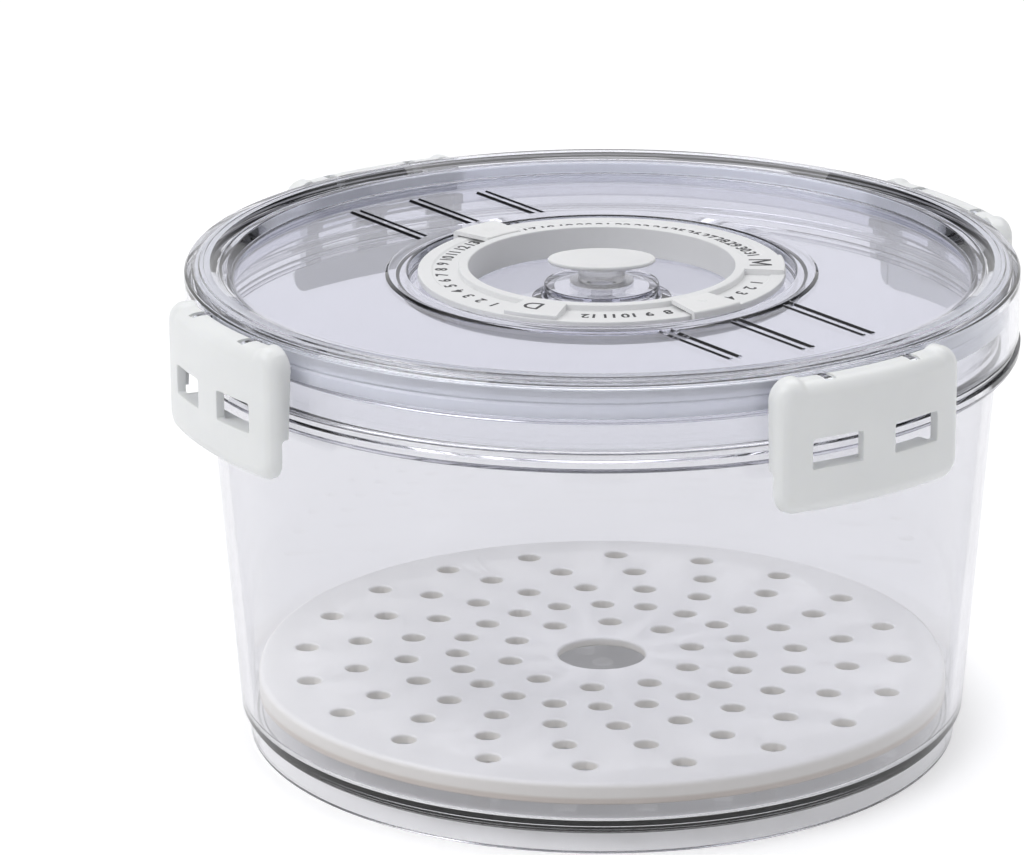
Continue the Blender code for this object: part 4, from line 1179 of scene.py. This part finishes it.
def latch_mesh():
    """One latch about its hinge: hollowed behind, with windows, hooks, slots and pins."""
    def moved(mesh, matrix=Matrix.Identity(4)):
        mesh.transform(Matrix.Translation((-HINGE_RADIUS, 0.0, 0.0)) @ matrix)
        return mesh

    changes = [('DIFFERENCE', moved(hollow)) for hollow in latch_hollows()]
    changes.append(('UNION', moved(latch_hooks())))
    turn = (WINDOW_MULLION + WINDOW_WIDTH) / 2 / LATCH_RADIUS
    stations = [(LATCH_RADIUS - LATCH_SKIN - 2.0 * MM, 0.0)]
    stations += [(LATCH_RADIUS + out, inset) for out, inset in WINDOW_FLARE]
    for side in (-1, 1):
        window = wrapped("window", window_outline, stations, count=8)
        changes.append(('DIFFERENCE', moved(window, spin(side * turn))))
    slot = CLAW_OUTER + SLOT_GAP
    slot_half = CLAW_WIDTH / 2 + SLOT_SIDE_GAP
    for side in (-1, 1):
        middle = side * CLAW_PLACE
        changes.append(('DIFFERENCE', block(
            (-slot - SLOT_INWARDS, middle - slot_half, -slot - SLOT_DOWN),
            (slot + SLOT_OUTER_GAP, middle + slot_half, slot + SLOT_UP))))
    for side in (-1, 1):
        changes.append(('UNION', rod(PIN_RADIUS, side * (CLAW_PLACE - slot_half - PIN_GRIP),
                                     side * (CLAW_PLACE + slot_half + PIN_GRIP), PIN_TURN)))
    mesh = carved("latch", moved(latch_body()), changes)
    smooth(mesh, angle=32.0)
    return mesh


def make_latches(material):
    mesh = latch_mesh()
    for index, name in enumerate(LATCH_NAMES):
        node = "latch_" + name
        piece("latch_flap_" + name, mesh.copy(), material, node, node,
              hinge_matrix(index))


def seen_directly(finish):
    """1 on rays from the camera, a gloss or a clear piece, and 0 on those that light a surface."""
    camera, glossy, through = [
        finish.node("ShaderNodeLightPath", output=ray)
        for ray in ("Is Camera Ray", "Is Glossy Ray", "Is Transmission Ray")]
    return finish.node("ShaderNodeMath", {"operation": 'ADD', "use_clamp": True},
                       {0: camera + glossy, 1: through})


def make_floor():
    """A wide white floor that stays white to the camera and keeps the object's shadow."""
    shape = bmesh.new()
    bmesh.ops.create_grid(shape, x_segments=8, y_segments=8, size=FLOOR_REACH,
                          matrix=Matrix.Translation((0.0, 0.0, -FLOOR_DROP)))
    mesh = bpy.data.meshes.new("studio_floor")
    shape.to_mesh(mesh)
    shape.free()
    floor = put("studio_floor", mesh)
    finish = Finish(bpy.data.materials.new("floor_white"))
    mottle = finish.noise(3.0)
    diffuse = finish.surface(Base_Color=finish.blend(mottle, FLOOR_WHITE, FLOOR_SHADE),
                             Roughness=0.9)
    glow = finish.node("ShaderNodeEmission", {},
                       {"Color": WHITE, "Strength": seen_directly(finish) * FLOOR_GLOW})
    finish.show(finish.node("ShaderNodeAddShader", {}, {0: diffuse, 1: glow}))
    mesh.materials.append(finish.owner)


def make_world():
    """White to the camera. Gloss and clear pieces see a dark band overhead, which draws edges."""
    world = bpy.data.worlds.new("studio")
    bpy.context.scene.world = world
    finish = Finish(world)
    direction = finish.node("ShaderNodeTexCoord", output="Generated")
    height = finish.node("ShaderNodeSeparateXYZ", {}, {"Vector": direction}, output="Z")
    ceiling = finish.node("ShaderNodeValToRGB", {"stops": CEILING_BANDS}, {"Fac": height})
    camera = finish.node("ShaderNodeLightPath", output="Is Camera Ray")
    shown = finish.blend(camera, ceiling, WHITE)
    colour = finish.blend(seen_directly(finish), ROOM_GREY, shown)
    background = finish.tree.nodes["Background"]
    finish.feed(background.inputs["Color"], colour)
    finish.feed(background.inputs["Strength"], 1.0)


def make_lamps():
    for name, place, size, power in LAMPS:
        lamp = bpy.data.lights.new(name, 'AREA')
        lamp.shape = 'RECTANGLE'
        lamp.size, lamp.size_y = size
        lamp.energy = power
        item = put(name, lamp)
        item.location = place
        towards = Vector(LAMP_AIM) - Vector(place)
        item.rotation_euler = towards.to_track_quat('-Z', 'Y').to_euler()


def make_camera():
    camera = bpy.data.cameras.new("camera")
    camera.sensor_fit = 'HORIZONTAL'
    camera.sensor_width = SENSOR
    camera.lens = FOCAL_PIXELS * SENSOR / IMAGE_WIDTH
    camera.clip_start = NEAREST_SEEN
    item = put("camera", camera)
    forward = Vector((math.sin(CAMERA_YAW) * math.cos(CAMERA_PITCH),
                      math.cos(CAMERA_YAW) * math.cos(CAMERA_PITCH), -math.sin(CAMERA_PITCH)))
    right = Vector((math.cos(CAMERA_YAW), -math.sin(CAMERA_YAW), 0.0))
    up = right.cross(forward)
    rolled_right = math.cos(CAMERA_ROLL) * right + math.sin(CAMERA_ROLL) * up
    rolled_up = math.cos(CAMERA_ROLL) * up - math.sin(CAMERA_ROLL) * right
    rotation = Matrix((rolled_right, rolled_up, -forward)).transposed()
    item.matrix_world = Matrix.Translation(CAMERA_PLACE) @ rotation.to_4x4()
    bpy.context.scene.camera = item


def main():
    bpy.context.scene.view_settings.view_transform = 'Standard'
    make_camera()
    make_world()
    make_lamps()
    make_floor()

    # The tub gets painted shade at its edges.
    tub_clear = clear_plastic("tub_clear_plastic", TUB_TINT, TUB_FLOW, edge=TUB_EDGE_PAINTED_SHADE)
    # The lid gets painted light over its rim.
    lid_clear = clear_plastic("lid_clear_plastic", LID_TINT, LID_FLOW,
                              rim=(LEDGE_INNER, PLUG_OUTER, LID_RIM_PAINTED_LIGHT))
    # The plate's colour carries painted shade down its hole walls and under its rim.
    plate_white = white_plastic(
        "plate_white_plastic", PLATE_WHITE, roughness=0.45, grain=PLATE_GRAIN, low=PLATE_PAINTED_SHADES)
    dial_white = white_plastic(
        "dial_white_plastic", DIAL_WHITE, roughness=0.38, grain=DIAL_GRAIN)
    marker_white = white_plastic(
        "marker_white_plastic", MARKER_WHITE, roughness=0.38, grain=DIAL_GRAIN)
    latch_white = white_plastic(
        "latch_white_plastic", LATCH_WHITE, roughness=0.36, grain=LATCH_GRAIN, soft=0.3)
    seal_milky = silicone("seal_milky_silicone", SEAL_MILKY, clarity=0.65, roughness=0.35)
    vent_milky = silicone("vent_milky_silicone", VENT_MILKY, clarity=0.10, roughness=0.40, soft=0.4)
    vent_clear = silicone("vent_clear_silicone", VENT_CLEAR, clarity=0.8, roughness=0.2)
    ink = printed_ink("numeral_ink")

    make_tub(tub_clear)
    make_plate(plate_white)
    make_lid(lid_clear)
    make_seal(seal_milky)
    make_dial(dial_white)
    make_numerals(ink)
    make_marker("day_slider", DAY_MARKER_AZIMUTH, marker_white, notch_sides=24)
    make_marker("month_slider", MONTH_MARKER_AZIMUTH, marker_white, notch_sides=3)
    make_vent(vent_milky, vent_clear)
    make_latches(latch_white)


main()
